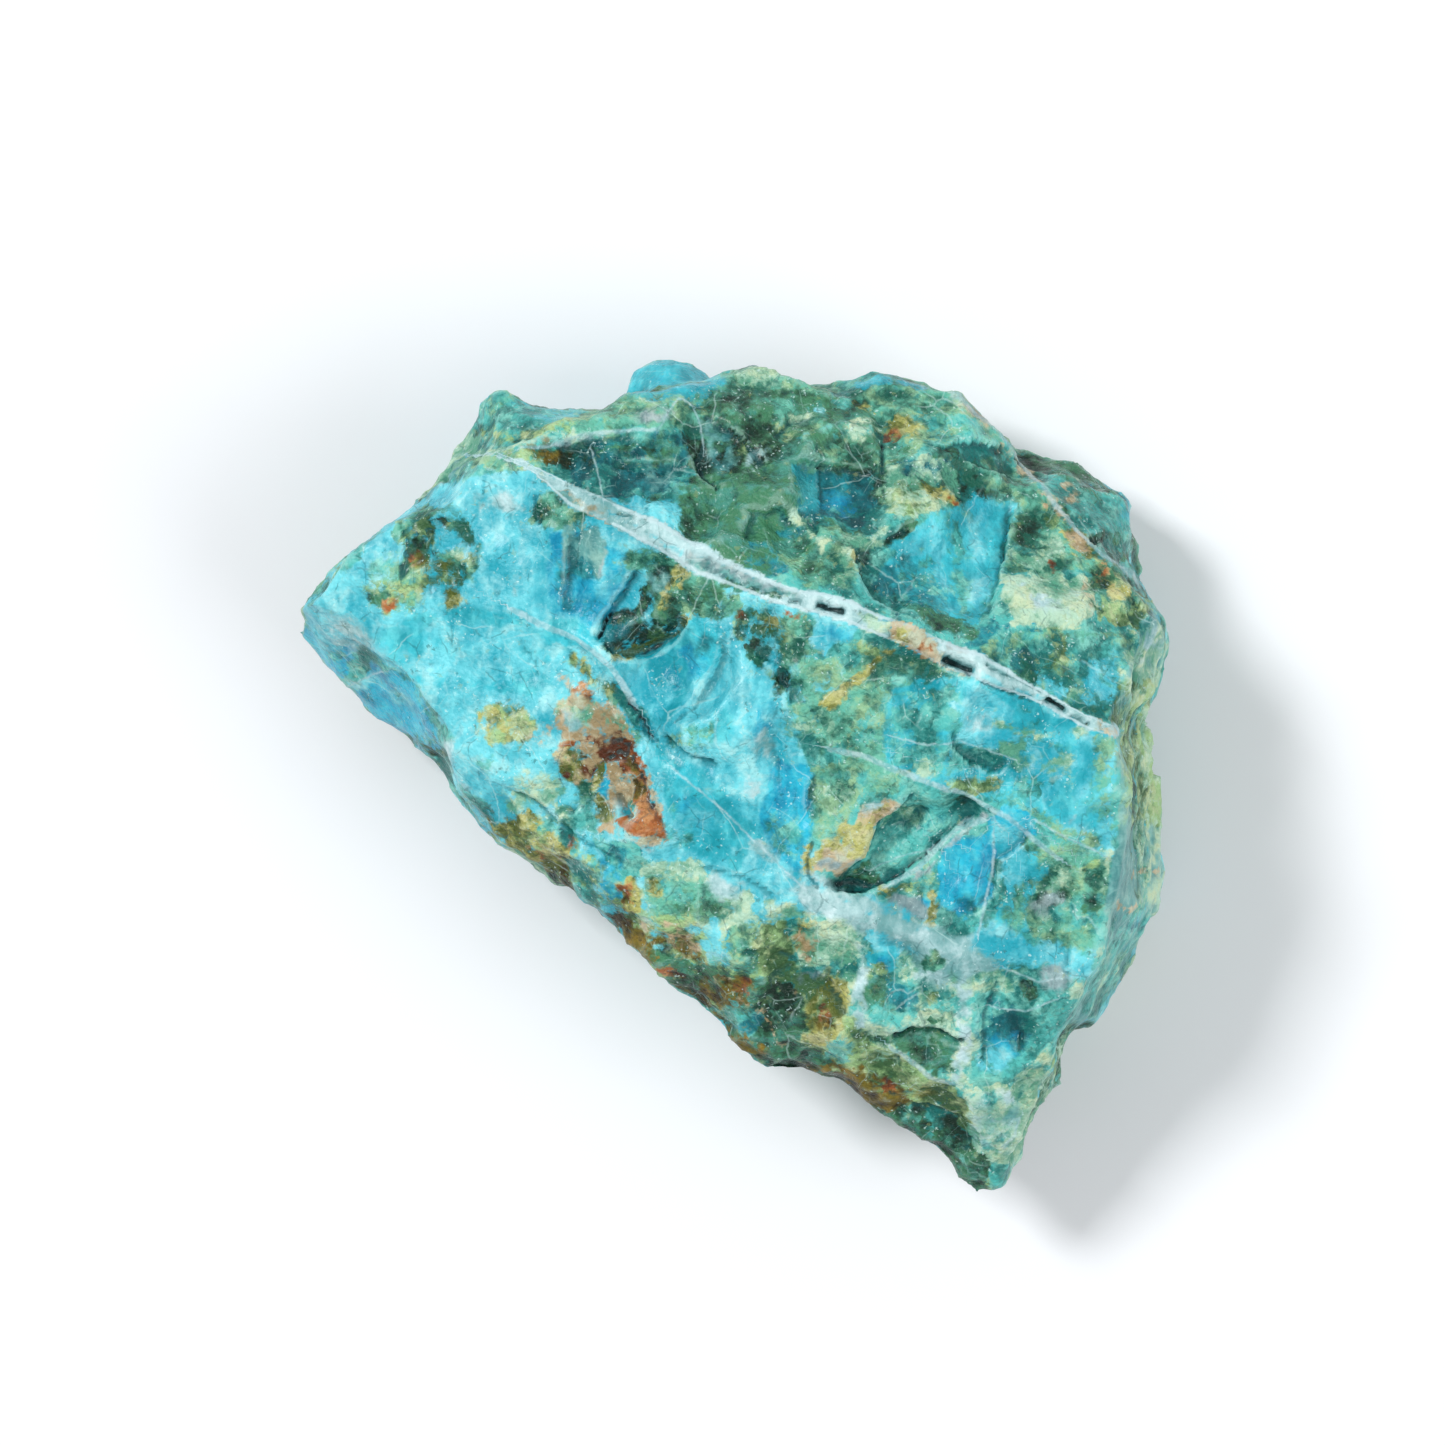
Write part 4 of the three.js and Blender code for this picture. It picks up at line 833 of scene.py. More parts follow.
POCKETS: tuple[Patch, ...] = (
    Area(TEAL, ((16.8, -1), (18.6, -1.4), (20.6, -2.4), (22.6, -3.4), (21.4, -4), (19.6, -5.2),
        (18.4, -7), (16.8, -8.2), (15.6, -9), (13.6, -9.8), (12.4, -10.2), (8.2, -10.2), (8.6, -9.2),
        (10.6, -8.5), (12.4, -6.6), (13.6, -4.4), (15.4, -3.2), (16.2, -2))),
    Blot(DEEP, 18.4, -4.4, 2.2, 1, 0.45, -45),
    Blot(MINT, 15.4, -4.6, 1.9, 1.3, 0.6, 40),
    # Painted shade along the pocket's lower rim.
    Area(DARK, ((8.2, -10.2), (8.6, -9.3), (10.4, -8.6), (12.2, -8), (13.4, -8.8), (13.8, -9.8),
        (12, -10.3)), 0.8),
    Blot(DARK, 21, -3.6, 1.6, 0.6, 0.5, -25),
    Area(PEACH, ((14.6, -2.2), (15.3, -2.8), (14.8, -3.6), (13.4, -4.6), (12.2, -6.6), (11, -7.4),
        (10.4, -8.4), (9.2, -8.8), (8.2, -9), (7.2, -8.4), (7.6, -7), (8.8, -6), (10, -5.6), (10.8, -4.4),
        (11.8, -2.9), (13.4, -2.6))),
    Area(OCHRE, ((14.4, -2.8), (13.2, -4.8), (12, -6.8), (10.6, -7.4), (9, -6.2), (10.8, -4.6),
        (12, -3.4)), 0.8),
    Streak(GREY, ((8.2, -8.3), (10.2, -8), (11, -7.2)), 0.9, 0.65),
    Blot(WHITE, 12.4, -3.3, 1.4, 0.6, 0.55, 35),
    Streak(OCHRE, ((7.4, -8.8), (8.2, -6.6), (10, -5)), 0.7, 0.7),
    Streak(OCHRE, ((7, -6.8), (6.8, -8.4), (7.6, -10.2)), 0.8, 0.7),
    Area(MOSS, ((18.6, -7.2), (18.4, -10.4), (17.2, -11.4), (13.8, -10.6), (15.6, -9.7),
        (17.4, -8.2)), 0.8),
    Blot(OCHRE, 14.4, -10.9, 1.2, 0.7, 0.7),
    Area(GREY, ((13.4, -11.4), (15, -11), (17, -11.4), (18.4, -12.6), (17.6, -13.8), (16, -13.4),
        (14.4, -12.4)), 0.9),
    Blot(AZURE, 17.9, -11.4, 0.8, 0.9, 0.8),
    Blot(SKY, 12.6, -12.2, 1.8, 0.9, 0.8, -25),
    Streak(OCHRE, ((13.6, -11.6), (15.2, -13.2), (17.8, -13.6), (18.2, -11)), 0.45, 0.7),
    Area(AZURE, ((25, -2.7), (27.2, -4), (27.4, -4.8), (26.6, -6), (25.2, -7.2), (23.8, -7.6), (23.5, -9),
        (23.2, -11), (22.4, -12.4), (20.8, -13), (19.4, -12.4), (18.7, -11), (18.6, -9), (19, -7.4),
        (20, -6), (21.4, -5.8), (23, -5.4), (23.4, -4))),
    Area(SKY, ((24.8, -2.9), (27.2, -4.2), (26.4, -6.2), (23.8, -7.4), (23.2, -6), (23.6, -4.2)), 0.5),
    Blot(DEEP, 21.6, -12.2, 1.4, 0.8, 0.35),
    Area(GREEN, ((26.8, -5.4), (34.4, -8), (34, -15.4), (31, -16.4), (26.4, -15), (25, -10)), 0.85),
    Area(MINT, ((27, -6), (31, -8), (31, -12), (28, -13.6), (26, -10)), 0.45),
    Streak(GREY, ((23.4, -3.8), (20.8, -5.4), (18.6, -8.2), (16.4, -9.6), (14, -10.2)), 0.6, 0.5),
    Area(CYAN, ((24.4, -7.8), (27.4, -6.4), (28.6, -8.4), (26.6, -12.6), (26.6, -16), (23.4, -16),
        (23.8, -11)), 0.6),
    Blot(GREEN, 25.4, -12.2, 1.2, 1.8, 0.7),
    Blot(SKY, 25.2, -8.8, 1.1, 1.9, 0.7),
    Blot(DARK, 30.3, -10.8, 0.9, 0.7, 0.8),
    Blot(DARK, 32.7, -11.6, 1, 0.9, 0.75),
    Blot(DARK, 28.6, -11.6, 1, 0.8, 0.6),
    Blot(MOSS, 32.4, -8.6, 1, 0.6, 0.6),
    Blot(GREY, 28.4, -11.8, 1.8, 1.4, 0.5),
    Blot(GREEN, 31.6, -15.2, 1.5, 0.8, 0.7),
    Streak(MINT, ((34.2, -6), (33.6, -13), (32.2, -19.5)), 0.8, 0.5),
)

APRON: tuple[Patch, ...] = (
    Area(MINT, ((9, -13), (24, -17), (23, -24), (21, -28), (12, -24), (9.5, -19)), 0.7),
    Streak(WHITE, ((7.6, -10.8), (10, -12), (12.8, -13.3), (16.3, -15), (19.5, -16.2),
        (23.4, -16.6)), 3.4, 1),
    Blot(MINT, 9.6, -15.4, 2, 1.8, 0.9),
    Streak(WHITE, ((2.2, -6.6), (4.6, -8.4), (6.4, -10.4)), 1.2, 0.5),
    Area(SKY, ((2, -7), (6.6, -9), (12, -12.6), (18, -14.2), (17, -12.8), (8, -10.6)), 0.35),
    Area(WHITE, ((19.8, -15.2), (22, -14.4), (25, -15), (24.6, -17.6), (22.4, -18.4), (20.6, -18))),
    Streak(SKY, ((22.8, -15), (27, -16.6), (33, -17.4)), 2.4),
    Area(SKY, ((12.2, -14), (16, -15), (17, -16.8), (14, -16.6), (12.4, -15.8))),
    Blot(WHITE, 15.8, -15.4, 2.2, 0.9, 0.9, -20),
    Area(CYAN, ((12.2, -16.4), (14.6, -15.9), (15, -17.4), (14, -18.6), (12.4, -18.2)), 0.8),
    Blot(AZURE, 13.4, -17.4, 1, 0.7, 0.6),
    Blot(MOSS, 13.2, -18.6, 1.2, 1, 0.8),
    Area(TEAL, ((12.2, -18.6), (14.4, -18.6), (16.8, -20), (16.6, -21.8), (13, -22.6), (11.9, -21)), 0.9),
    Blot(DARK, 13.2, -19.8, 1.8, 1.2, 0.75),
    Area(DEEP, ((14.4, -19.4), (16.6, -20), (16.8, -21.2), (15.6, -21.8), (14.2, -20.8)), 0.85),
    Blot(WHITE, 18.6, -18.6, 2, 1.5, 0.75),
    Area(GREEN, ((18.2, -16.2), (19.6, -17.2), (18.2, -18), (17.4, -17.4)), 0.9),
    Blot(DARK, 17, -22.4, 2.6, 0.8, 0.6),
    Blot(MOSS, 18.2, -20.4, 0.6, 0.5, 0.7),
    # Painted shade inside the hollow under its rim.
    Area(DARK, ((14.6, -23.9), (16.3, -22.9), (20.6, -23.9), (20.3, -26.9), (18.2, -27.2),
        (15.2, -24.9))),
    Blot(DARK, 13, -24, 1.2, 0.5, 0.7),
    Streak(WHITE, ((11.6, -15.4), (11.7, -22.5)), 1.2, 0.8),
    Streak(WHITE, ((21.6, -17), (21.1, -22), (20.8, -28)), 1.3, 0.7),
    Area(TEAL, ((22.2, -18), (28, -17.8), (31, -19), (29.6, -23), (26.8, -28.4), (22, -28.6)), 0.9),
    Blot(DEEP, 24.8, -23.2, 2.4, 2.6, 0.65, 30),
    Blot(AZURE, 24.6, -25, 1.6, 1.2, 0.5, 30),
    Blot(SKY, 23.8, -26, 1.4, 1, 0.6),
    Area(DARK, ((26.2, -19), (27.4, -19.4), (27.8, -20.4), (26.8, -20.2)), 0.95),
    Blot(MINT, 24.6, -18.8, 2, 1, 0.7),
    Blot(GREY, 29.4, -18.6, 1.7, 1, 0.75),
    Blot(MINT, 31.4, -19.4, 0.8, 0.8, 0.8),
    Area(MINT, ((20.6, -28), (25, -28), (28.4, -26), (29, -30), (26, -35.4), (23, -36), (21, -33)), 0.85),
    Area(WHITE, ((21, -29), (25, -28.6), (27, -31), (25, -34.6), (22.4, -34), (21, -31.6)), 0.6),
    Blot(TEAL, 23.4, -29.4, 1.6, 0.7, 0.6, 20),
    Blot(SLATE, 25.6, -30.6, 1.2, 0.7, 0.5, 50),
    Blot(WHITE, 22.4, -32.2, 1.5, 1.7, 0.6),
    Area(MOSS, ((9.6, -25.6), (14, -25), (19, -28.2), (21.4, -31.6), (19, -32.4), (15, -30.4),
        (8, -27.4)), 0.9),
    # Painted shadow along the low edge.
    Streak(DARK, ((5, -26.8), (10, -29.2), (14, -32), (18, -35.4)), 3.6, 0.95),
    Area(BROWN, ((6, -26.4), (11, -26.8), (15.4, -28), (16.6, -30), (13.6, -31.2), (8, -29.2)), 0.75),
    Blot(RUST, 14.3, -28.7, 0.9, 0.6, 0.75, -30),
    Blot(OCHRE, 17, -28.8, 1.4, 0.7, 0.6, -35),
    Blot(MINT, 14.6, -26.6, 1.6, 0.7, 0.5, -30),
    # Painted shadow along the low edge.
    Area(DARK, ((14, -31.4), (17, -30.4), (20.6, -32.6), (23, -35), (23, -38.6), (18.8, -37),
        (15, -33.6)), 0.95),
    Blot(TEAL, 17.6, -31.8, 1.6, 1.1, 0.7, -20),
    Blot(TEAL, 20, -34, 1.3, 1.2, 0.5),
    Area(MOSS, ((6.4, -18.6), (9.4, -17.4), (10.8, -19.4), (10, -22.6), (8.4, -25.2), (6.2, -25),
        (6.6, -21.6)), 0.8),
    Area(OCHRE, ((8.8, -18.4), (10.8, -18.2), (10.8, -21), (10, -23.4), (8.6, -24.8), (6.4, -24.6),
        (6.9, -21.4)), 0.85),
    Blot(BROWN, 8.2, -22.6, 1.1, 1, 0.6),
    Blot(RUST, 8.2, -21.8, 0.8, 0.8, 0.6),
    Area(TEAL, ((8.4, -24.2), (10.4, -24), (11.2, -25.2), (10.2, -26.2), (8.6, -25.8)), 0.85),
)

BACK_LEFT: tuple[Patch, ...] = (
    Area(GREEN, ((-14, 33), (-11, 35), (0, 38), (8, 36.6), (9, 31), (3, 30), (-8, 31.6), (-14, 31)), 0.7),
    Area(DARK, ((-3, 34.4), (4, 35), (12, 34.2), (13.6, 31), (13, 27), (2, 27), (-3, 30.6)), 0.6),
    Area(GREEN, ((-24, 29.2), (-18, 29), (-15, 27), (-17.6, 27), (-20, 27.6), (-24, 27.8)), 0.8),
    Streak(MINT, ((-10, 34.4), (-7.6, 34.2), (-5, 34.6), (-2.6, 35.8)), 1.2, 0.6),
    Blot(GREY, -7.6, 32.4, 1.8, 0.8, 0.55, 10),
    Area(DARK, ((-19.2, 29.4), (-16, 30), (-14, 29.8), (-13.6, 28.2), (-17, 27.8)), 0.8),
    Blot(BROWN, -16.8, 29, 2.2, 0.8, 0.7, 5),
    Blot(MOSS, -19.4, 28.4, 1.6, 0.7, 0.7, -20),
    Area(DEEP, ((-14, 30), (-5, 31), (-3.6, 28), (-4.6, 25.2), (-10, 25.2), (-14.4, 26.8)), 0.6),
    Area(DARK, ((-14, 30), (-8, 30.4), (-4.6, 30.6), (-5, 28.4), (-13, 28)), 0.4),
    Blot(SLATE, -6.6, 27.2, 1.8, 1.6, 0.45),
    Area(SKY, ((-13, 25.5), (-9.6, 24.9), (-4.6, 24.9), (-4.8, 21.8), (-7.2, 22.4), (-10.4, 24)), 0.8),
    Area(DARK, ((-5, 31), (-1, 30.4), (1.6, 27), (2.4, 23.4), (0.6, 20.2), (-4, 21.4), (-5, 24.5),
        (-3.5, 27))),
    Area(SLATE, ((-4.6, 33.4), (-2.4, 33), (0.4, 30.6), (1.6, 29.6), (1.4, 28.2), (-0.2, 25.9),
        (-1.6, 26.4), (-2.8, 28.6), (-2.9, 31)), 0.55),
    Blot(BROWN, -2.6, 23.4, 1.6, 1.8, 0.5),
    Blot(MOSS, -0.2, 22.2, 1.2, 1.4, 0.4),
    # Painted shade where the faces here tilt away from the light.
    Blot(DARK, -2, 24.2, 2.8, 3.4, 0.9),
    Blot(GREEN, -2, 31, 2.4, 1, 0.5, -10),
    Area(DEEP, ((0.2, 24), (5, 24.4), (6.2, 21.2), (5, 17.6), (1.4, 17.8), (-0.4, 20.2))),
    Blot(DARK, 1.6, 19.6, 2.4, 1.2, 0.7, -20),
    Blot(DARK, 1.4, 23, 5, 5, 0.65),
    # Painted shade where the faces here tilt away from the light.
    Blot(DARK, 2.6, 24.8, 3.2, 1.8, 0.95),
    Area(DARK, ((0.2, 30.6), (4.8, 30.4), (9.6, 30), (12.4, 27.8), (5.2, 24.6), (1.6, 24.2)), 0.9),
    Area(DEEP, ((5, 28), (12.6, 27.6), (13, 24), (11, 22.6), (6.4, 23.6)), 0.85),
    Blot(AZURE, 9.4, 24.8, 2, 0.9, 0.35),
    Area(GREEN, ((4, 19.6), (8, 22.8), (11, 22), (12, 20), (10.4, 16.8), (6.8, 16.6)), 0.85),
    Blot(DARK, 6.2, 19.6, 2.4, 1.8, 0.7),
    Streak(MINT, ((5.6, 23.6), (6.9, 22.5), (8.1, 20.6)), 0.7, 0.7),
    Streak(MINT, ((9.8, 17.4), (10.2, 19.8), (11.4, 21.2), (13.6, 21.7)), 1.5, 0.8),
    Blot(OCHRE, 10.6, 19.6, 0.9, 1.6, 0.3, -20),
    Blot(MOSS, 3, 30, 2.6, 1.4, 0.5, 40),
    Blot(DARK, 1, 33, 3, 1.6, 0.65),
    Blot(DARK, 6.4, 28.8, 2.4, 1.2, 0.7),
    Blot(MINT, 2, 36.4, 2.2, 1, 0.7, -10),
    Blot(WHITE, 2.4, 28.8, 1.3, 0.9, 0.5, 40),
    Blot(MINT, 6.4, 31.6, 1.8, 0.8, 0.6, 20),
    Blot(DARK, 7.4, 33, 1.4, 1.2, 0.75),
    Blot(SKY, 7.6, 32.6, 0.7, 0.4, 0.6),
    Blot(GREEN, 9.6, 29.4, 2.6, 1.4, 0.6),
    Blot(MINT, 11.6, 31, 1.6, 1, 0.6),
    Blot(CYAN, -6.2, 36.2, 4.8, 1.9),
    Blot(AZURE, -5, 36.4, 2.4, 1.2, 0.4),
)

BACK_RIGHT: tuple[Patch, ...] = (
    Area(GREEN, ((11, 36), (17, 36), (23, 32.6), (25, 29.6), (20, 30), (15, 30), (13, 32)), 0.7),
    Area(TEAL, ((16, 33), (22, 32), (27, 27.6), (24, 27.4), (20.6, 29.8), (16, 31)), 0.6),
    Streak(CYAN, ((11.6, 35.7), (14, 35.9), (17.2, 35.2)), 0.8, 0.8),
    Blot(OCHRE, 15.4, 31.4, 1.7, 1.2, 0.6, 20),
    Blot(RUST, 14.6, 31, 0.7, 0.6, 0.75),
    Streak(OCHRE, ((10.6, 34.4), (12.6, 32.8)), 0.8, 0.6),
    Area(GREEN, ((20, 29.4), (24, 29.2), (27, 26.4), (25, 25.4), (21.4, 26.4), (20, 28.4)), 0.8),
    Area(MINT, ((13.4, 25.6), (14.6, 28), (17.4, 29), (20, 28.6), (21.4, 26), (19.4, 24), (16, 22.8),
        (14, 24)), 0.9),
    Blot(MOSS, 16.6, 25, 2.4, 1.4, 0.55, 10),
    Streak(OCHRE, ((17.8, 26.2), (19, 25.6), (20.4, 24.6)), 1.2, 0.85),
    Blot(RUST, 20.2, 24.7, 0.7, 0.5, 0.6, -30),
    Blot(DEEP, 17.6, 27.9, 1.4, 0.5, 0.5),
    Area(TEAL, ((11.8, 18.9), (13.6, 21), (20, 23.8), (21.6, 25), (26.3, 25), (24.4, 21.2), (24, 17.8),
        (22.8, 13.6), (20.4, 11.2), (17.8, 12.2), (13, 15.8))),
    Area(CYAN, ((14, 21), (21.6, 24.8), (26, 24.8), (24.2, 21), (23.8, 17.6), (22, 13.4), (18, 14.6),
        (14, 18)), 0.65),
    Streak(SKY, ((18.4, 22.6), (18.8, 19), (19.6, 15.4)), 0.9, 0.5),
    Streak(SKY, ((22.8, 24.6), (22, 20), (22.4, 16)), 1.4, 0.7),
    Streak(WHITE, ((15.6, 20.6), (15.8, 18.4), (16.8, 16.4)), 0.4, 0.5),
    Streak(TEAL, ((20.4, 23), (20.4, 19), (21, 15)), 0.6, 0.6),
    Area(DARK, ((13, 16.6), (15.6, 15.2), (20.4, 12.4), (22.8, 12.2), (22, 13.6), (18, 15),
        (14.6, 17.6)), 0.7),
    Area(DEEP, ((12.4, 18.8), (14.6, 16.4), (19, 14.2), (19.4, 17), (16, 20)), 0.5),
    # Painted shade under the bowl's upper rim.
    Area(DARK, ((13.9, 21.2), (15.2, 22.4), (16.8, 22.8), (16.6, 21.6), (15.4, 20.9)), 0.9),
    # Painted shadow along the bowl's left rim.
    Streak(DARK, ((12.4, 20), (12, 18.4), (13, 16.4), (14.6, 15)), 0.9, 0.7),
    Area(GREEN, ((25.6, 27), (28.8, 25), (33, 20), (33, 18), (25, 18.4), (24.6, 21), (26.2, 24.6)), 0.85),
    Blot(MINT, 27.6, 20.4, 2.4, 1.4, 0.45),
    Blot(DARK, 26.7, 22.8, 1.3, 0.9, 0.85),
    Blot(MOSS, 29.6, 23.4, 1.4, 0.8, 0.5, -50),
    Area(MINT, ((24, 18), (28, 18.6), (32.4, 17.8), (33.2, 15), (31, 13.2), (25, 13.4)), 0.95),
    Blot(WHITE, 28.2, 16, 3.2, 1.4, 0.3),
    Blot(PEACH, 32.6, 16.2, 0.9, 1.2, 0.6),
    Blot(RUST, 29.2, 19.4, 0.6, 0.4, 0.5),
    Area(OCHRE, ((29.8, 22.2), (31.4, 22.9), (33, 21.6), (33.6, 20), (31.4, 19.7)), 0.85),
    Blot(PEACH, 31.6, 21.2, 1.2, 0.8, 0.7, -30),
    Area(MOSS, ((32.6, 20), (35, 18.4), (38.4, 15.8), (37, 13), (34, 13.4), (32.8, 16.6))),
    Blot(DARK, 34.8, 16.8, 2.4, 1.9, 0.85, -40),
    Blot(OCHRE, 34.8, 16.4, 1.4, 0.9, 0.55, -40),
    Blot(RUST, 33.6, 18.2, 0.6, 1.4, 0.4, 10),
    Area(GREEN, ((24, 13), (34, 13), (37, 13), (35.6, 7), (33.6, 4.6), (28, 7.4), (22.6, 11)), 0.6),
    Area(TEAL, ((26, 12.6), (33, 12.6), (36.4, 12), (35.6, 7), (33.6, 4.8), (29, 7.4)), 0.8),
    Blot(SKY, 33.8, 9, 2, 2.2, 0.6, -30),
    Blot(SKY, 29.4, 7.8, 1.6, 0.9, 0.4, -30),
    Blot(MINT, 31.6, 7.2, 1.6, 1, 0.5, -30),
    Blot(MOSS, 29.6, 11, 1.2, 2, 0.35),
    Blot(DEEP, 26.4, 10.6, 1.2, 0.9, 0.5),
    Blot(MINT, 35.4, 9.6, 0.8, 1.6, 0.5, -10),
    Streak(PEACH, ((20.6, 33.4), (24, 30.8), (27.2, 27), (29.6, 24.2), (32, 21.6)), 0.9, 0.5),
    Area(TEAL, ((26, 30), (31, 29), (37, 27), (38, 22), (36, 19.4), (33, 21.6), (29.6, 25.6)), 0.9),
    Area(DARK, ((26, 31), (31, 30), (38, 28), (37, 25), (33, 25), (30, 27), (26, 28.4)), 0.85),
    Area(DARK, ((33, 21.6), (35, 19), (38, 19), (38, 22), (35, 23)), 0.5),
    Blot(CYAN, 35.8, 23.6, 1.4, 0.9, 0.4),
    Blot(PEACH, 30.6, 25.8, 0.9, 0.7, 0.6),
    Blot(DARK, 33.4, 21.5, 0.7, 0.6, 0.9),
)

RIGHT_SIDE: tuple[Patch, ...] = (
    Area(SLATE, ((34.9, 4), (36, 10), (39, 15.2), (43, 14), (42, -12), (38, -24), (30, -38), (26, -38),
        (32.4, -19), (33.9, -12), (34.7, -5)), 0.95),
    Area(MINT, ((36, 13), (44, 14), (44, -18), (37, -18), (36.4, -4)), 0.6),
    Area(MINT, ((32.8, -16), (36.4, -15), (35.4, -21), (32, -24)), 0.5),
    Area(MINT, ((36, 8), (38.8, 14.6), (42, 14), (41, 8)), 0.65),
    Blot(WHITE, 38, 12.4, 1.4, 2.2, 0.5),
    Area(MOSS, ((35, 8.6), (38, 8.6), (38.4, -4.6), (35, -5)), 0.6),
    Area(MINT, ((36.6, 8), (39, 8), (38.6, -1), (37, -1)), 0.45),
    Area(TEAL, ((33.4, -13), (37, -12), (38.4, -14), (36, -20), (32.4, -23.6), (31.8, -20)), 0.55),
    Blot(DEEP, 36.8, -13.8, 0.9, 0.5, 0.7),
    Blot(PEACH, 37.2, -9, 0.5, 0.35, 0.9),
    Blot(PEACH, 35.8, -12, 0.5, 0.3, 0.9),
    Area(MINT, ((29, -23.6), (31, -25), (28.6, -31), (26, -36), (25, -34), (27.4, -28)), 0.7),
    Blot(MOSS, 29.2, -26.6, 0.9, 0.9, 0.5),
)

CREST_STAINS_AND_SHADE: tuple[Patch, ...] = (
    Blot(PEACH, -13.2, 24.4, 1.6, 0.5, 0.6, -25),
    Blot(OCHRE, -12.6, 24.2, 0.9, 0.3, 0.5, -25),
    Area(GREY, ((-4.2, 20.4), (0, 18.6), (6.4, 16.2), (6.2, 15.3), (-0.2, 17.1), (-4.2, 19.2)), 0.95),
    Blot(MOSS, 6.1, 15.5, 0.7, 0.35, 0.7),
    Streak(SLATE, ((-3.6, 19.4), (0.2, 17.7), (5.8, 15.8)), 0.7, 0.8),
    # Painted shade in the crest vein's channel.
    Streak(DARK, ((-0.4, 17.6), (2.6, 16.4), (6.2, 15.5)), 0.5, 0.6),
    Streak(SLATE, ((-20.5, 27.2), (-17, 26), (-14.4, 24.6)), 0.5, 0.55),
    Streak(SKY, ((-11.4, 23.6), (-8.4, 22.2), (-5, 20.4)), 0.45, 0.5),
    Blot(OCHRE, -17.4, 25.8, 1.4, 0.4, 0.5, -25),
    Area(OCHRE, ((11.3, 15), (14.6, 13.6), (14.8, 12.4), (12.4, 13.2)), 0.5),
    Area(MINT, ((11, 15), (14.4, 13.6), (14.6, 12.4), (12.2, 13.4)), 0.6),
    Area(PEACH, ((13.8, 14.4), (17.6, 13), (19.4, 10.8), (18.8, 9.2), (16, 10.6), (13.8, 12)), 0.95),
    Blot(RUST, 17.7, 11.3, 1.2, 0.6, 0.85, -25),
    Blot(OCHRE, 15.2, 12.6, 1, 0.7, 0.6, -25),
    Area(GREY, ((18.8, 12.4), (21.6, 11), (21.4, 10.2), (19.2, 11)), 0.85),
    Streak(PEACH, ((19, 9.6), (21, 8.9), (22, 8.4)), 0.4, 0.6),
    Area(SKY, ((22.2, 9.5), (24.2, 8.7), (28.2, 6.6), (27.6, 6), (24.6, 7.4), (22.2, 8.8)), 0.75),
    Area(PEACH, ((32.8, 4.8), (34.8, 4.2), (34.6, 3.2), (33.2, 3.6)), 0.35),
)

SIDE_MINERALS = (TEAL, GREEN, SKY, MINT, MOSS, DARK, SLATE, CYAN, TEAL, GREEN, DARK)


def placed(name: str, data: bpy.types.ID) -> bpy.types.Object:
    """A new object in the scene.

    Args:
        name: Its name.
        data: Its mesh, light or camera.

    Returns:
        The object.
    """
    made = bpy.data.objects.new(name, data)
    bpy.context.collection.objects.link(made)
    return made


@dataclass
class Surface:
    """The vertices of the dense skin in millimetres, and how they join.

    Attributes:
        mesh: Mesh in metres, with its normals up to date.
        cut_rounds: Rounds of evening out for the normals along which the relief is cut.
        broad_rounds: Rounds for the normals that tell the upper faces from the undercut sides.
    """

    mesh: bpy.types.Mesh
    cut_rounds: int = 3
    broad_rounds: int = 14

    def __post_init__(self) -> None:
        """Reads the mesh."""
        self.count = len(self.mesh.vertices)
        self.points = self.read(self.mesh.vertices, "co", 3) / MM
        self.edges = self.read(self.mesh.edges, "vertices", 2, np.int64)
        normals = self.read(self.mesh.vertices, "normal", 3)
        self.normals = self.unit(self.averaged(normals, self.cut_rounds))
        self.broad_normals = self.unit(self.averaged(normals, self.broad_rounds))

    def read(
        self, items: bpy.types.bpy_prop_collection, name: str, width: int, kind: type = float
    ) -> np.ndarray:
        """Reads one property of many items.

        Args:
            items: Vertices or edges.
            name: The property's name.
            width: How many numbers each item holds.
            kind: Type of the numbers.

        Returns:
            One row for each item.
        """
        flat = np.empty(len(items) * width, kind)
        items.foreach_get(name, flat)
        return flat.reshape(-1, width)

    def unit(self, vectors: np.ndarray) -> np.ndarray:
        """Vectors of length one."""
        return vectors / np.maximum(np.linalg.norm(vectors, axis=1, keepdims=True), LEAST_LENGTH)

    def averaged(self, values: np.ndarray, rounds: int) -> np.ndarray:
        """Evens out values between neighbours.

        Args:
            values: One row for each vertex.
            rounds: How often each vertex moves half way to its neighbours' mean.

        Returns:
            The evened values.
        """
        a, b = self.edges.T
        joined = np.maximum(np.bincount(a, minlength=self.count) + np.bincount(b, minlength=self.count), 1)
        for _ in range(rounds):
            sums = [np.bincount(a, v[b], self.count) + np.bincount(b, v[a], self.count) for v in values.T]
            values = (values + np.stack(sums, axis=1) / joined[:, None]) / 2
        return values

    def keep(self, name: str, values: np.ndarray) -> None:
        """Stores a number for each vertex, for the material.

        Args:
            name: Name of the stored layer.
            values: One number for each vertex.
        """
        layer = self.mesh.attributes.new(name, "FLOAT", "POINT")
        layer.data.foreach_set("value", values.astype(np.float32))

    def write(self) -> None:
        """Puts the points back into the mesh, in metres."""
        self.mesh.vertices.foreach_set("co", (self.points * MM).ravel())
        self.mesh.update()


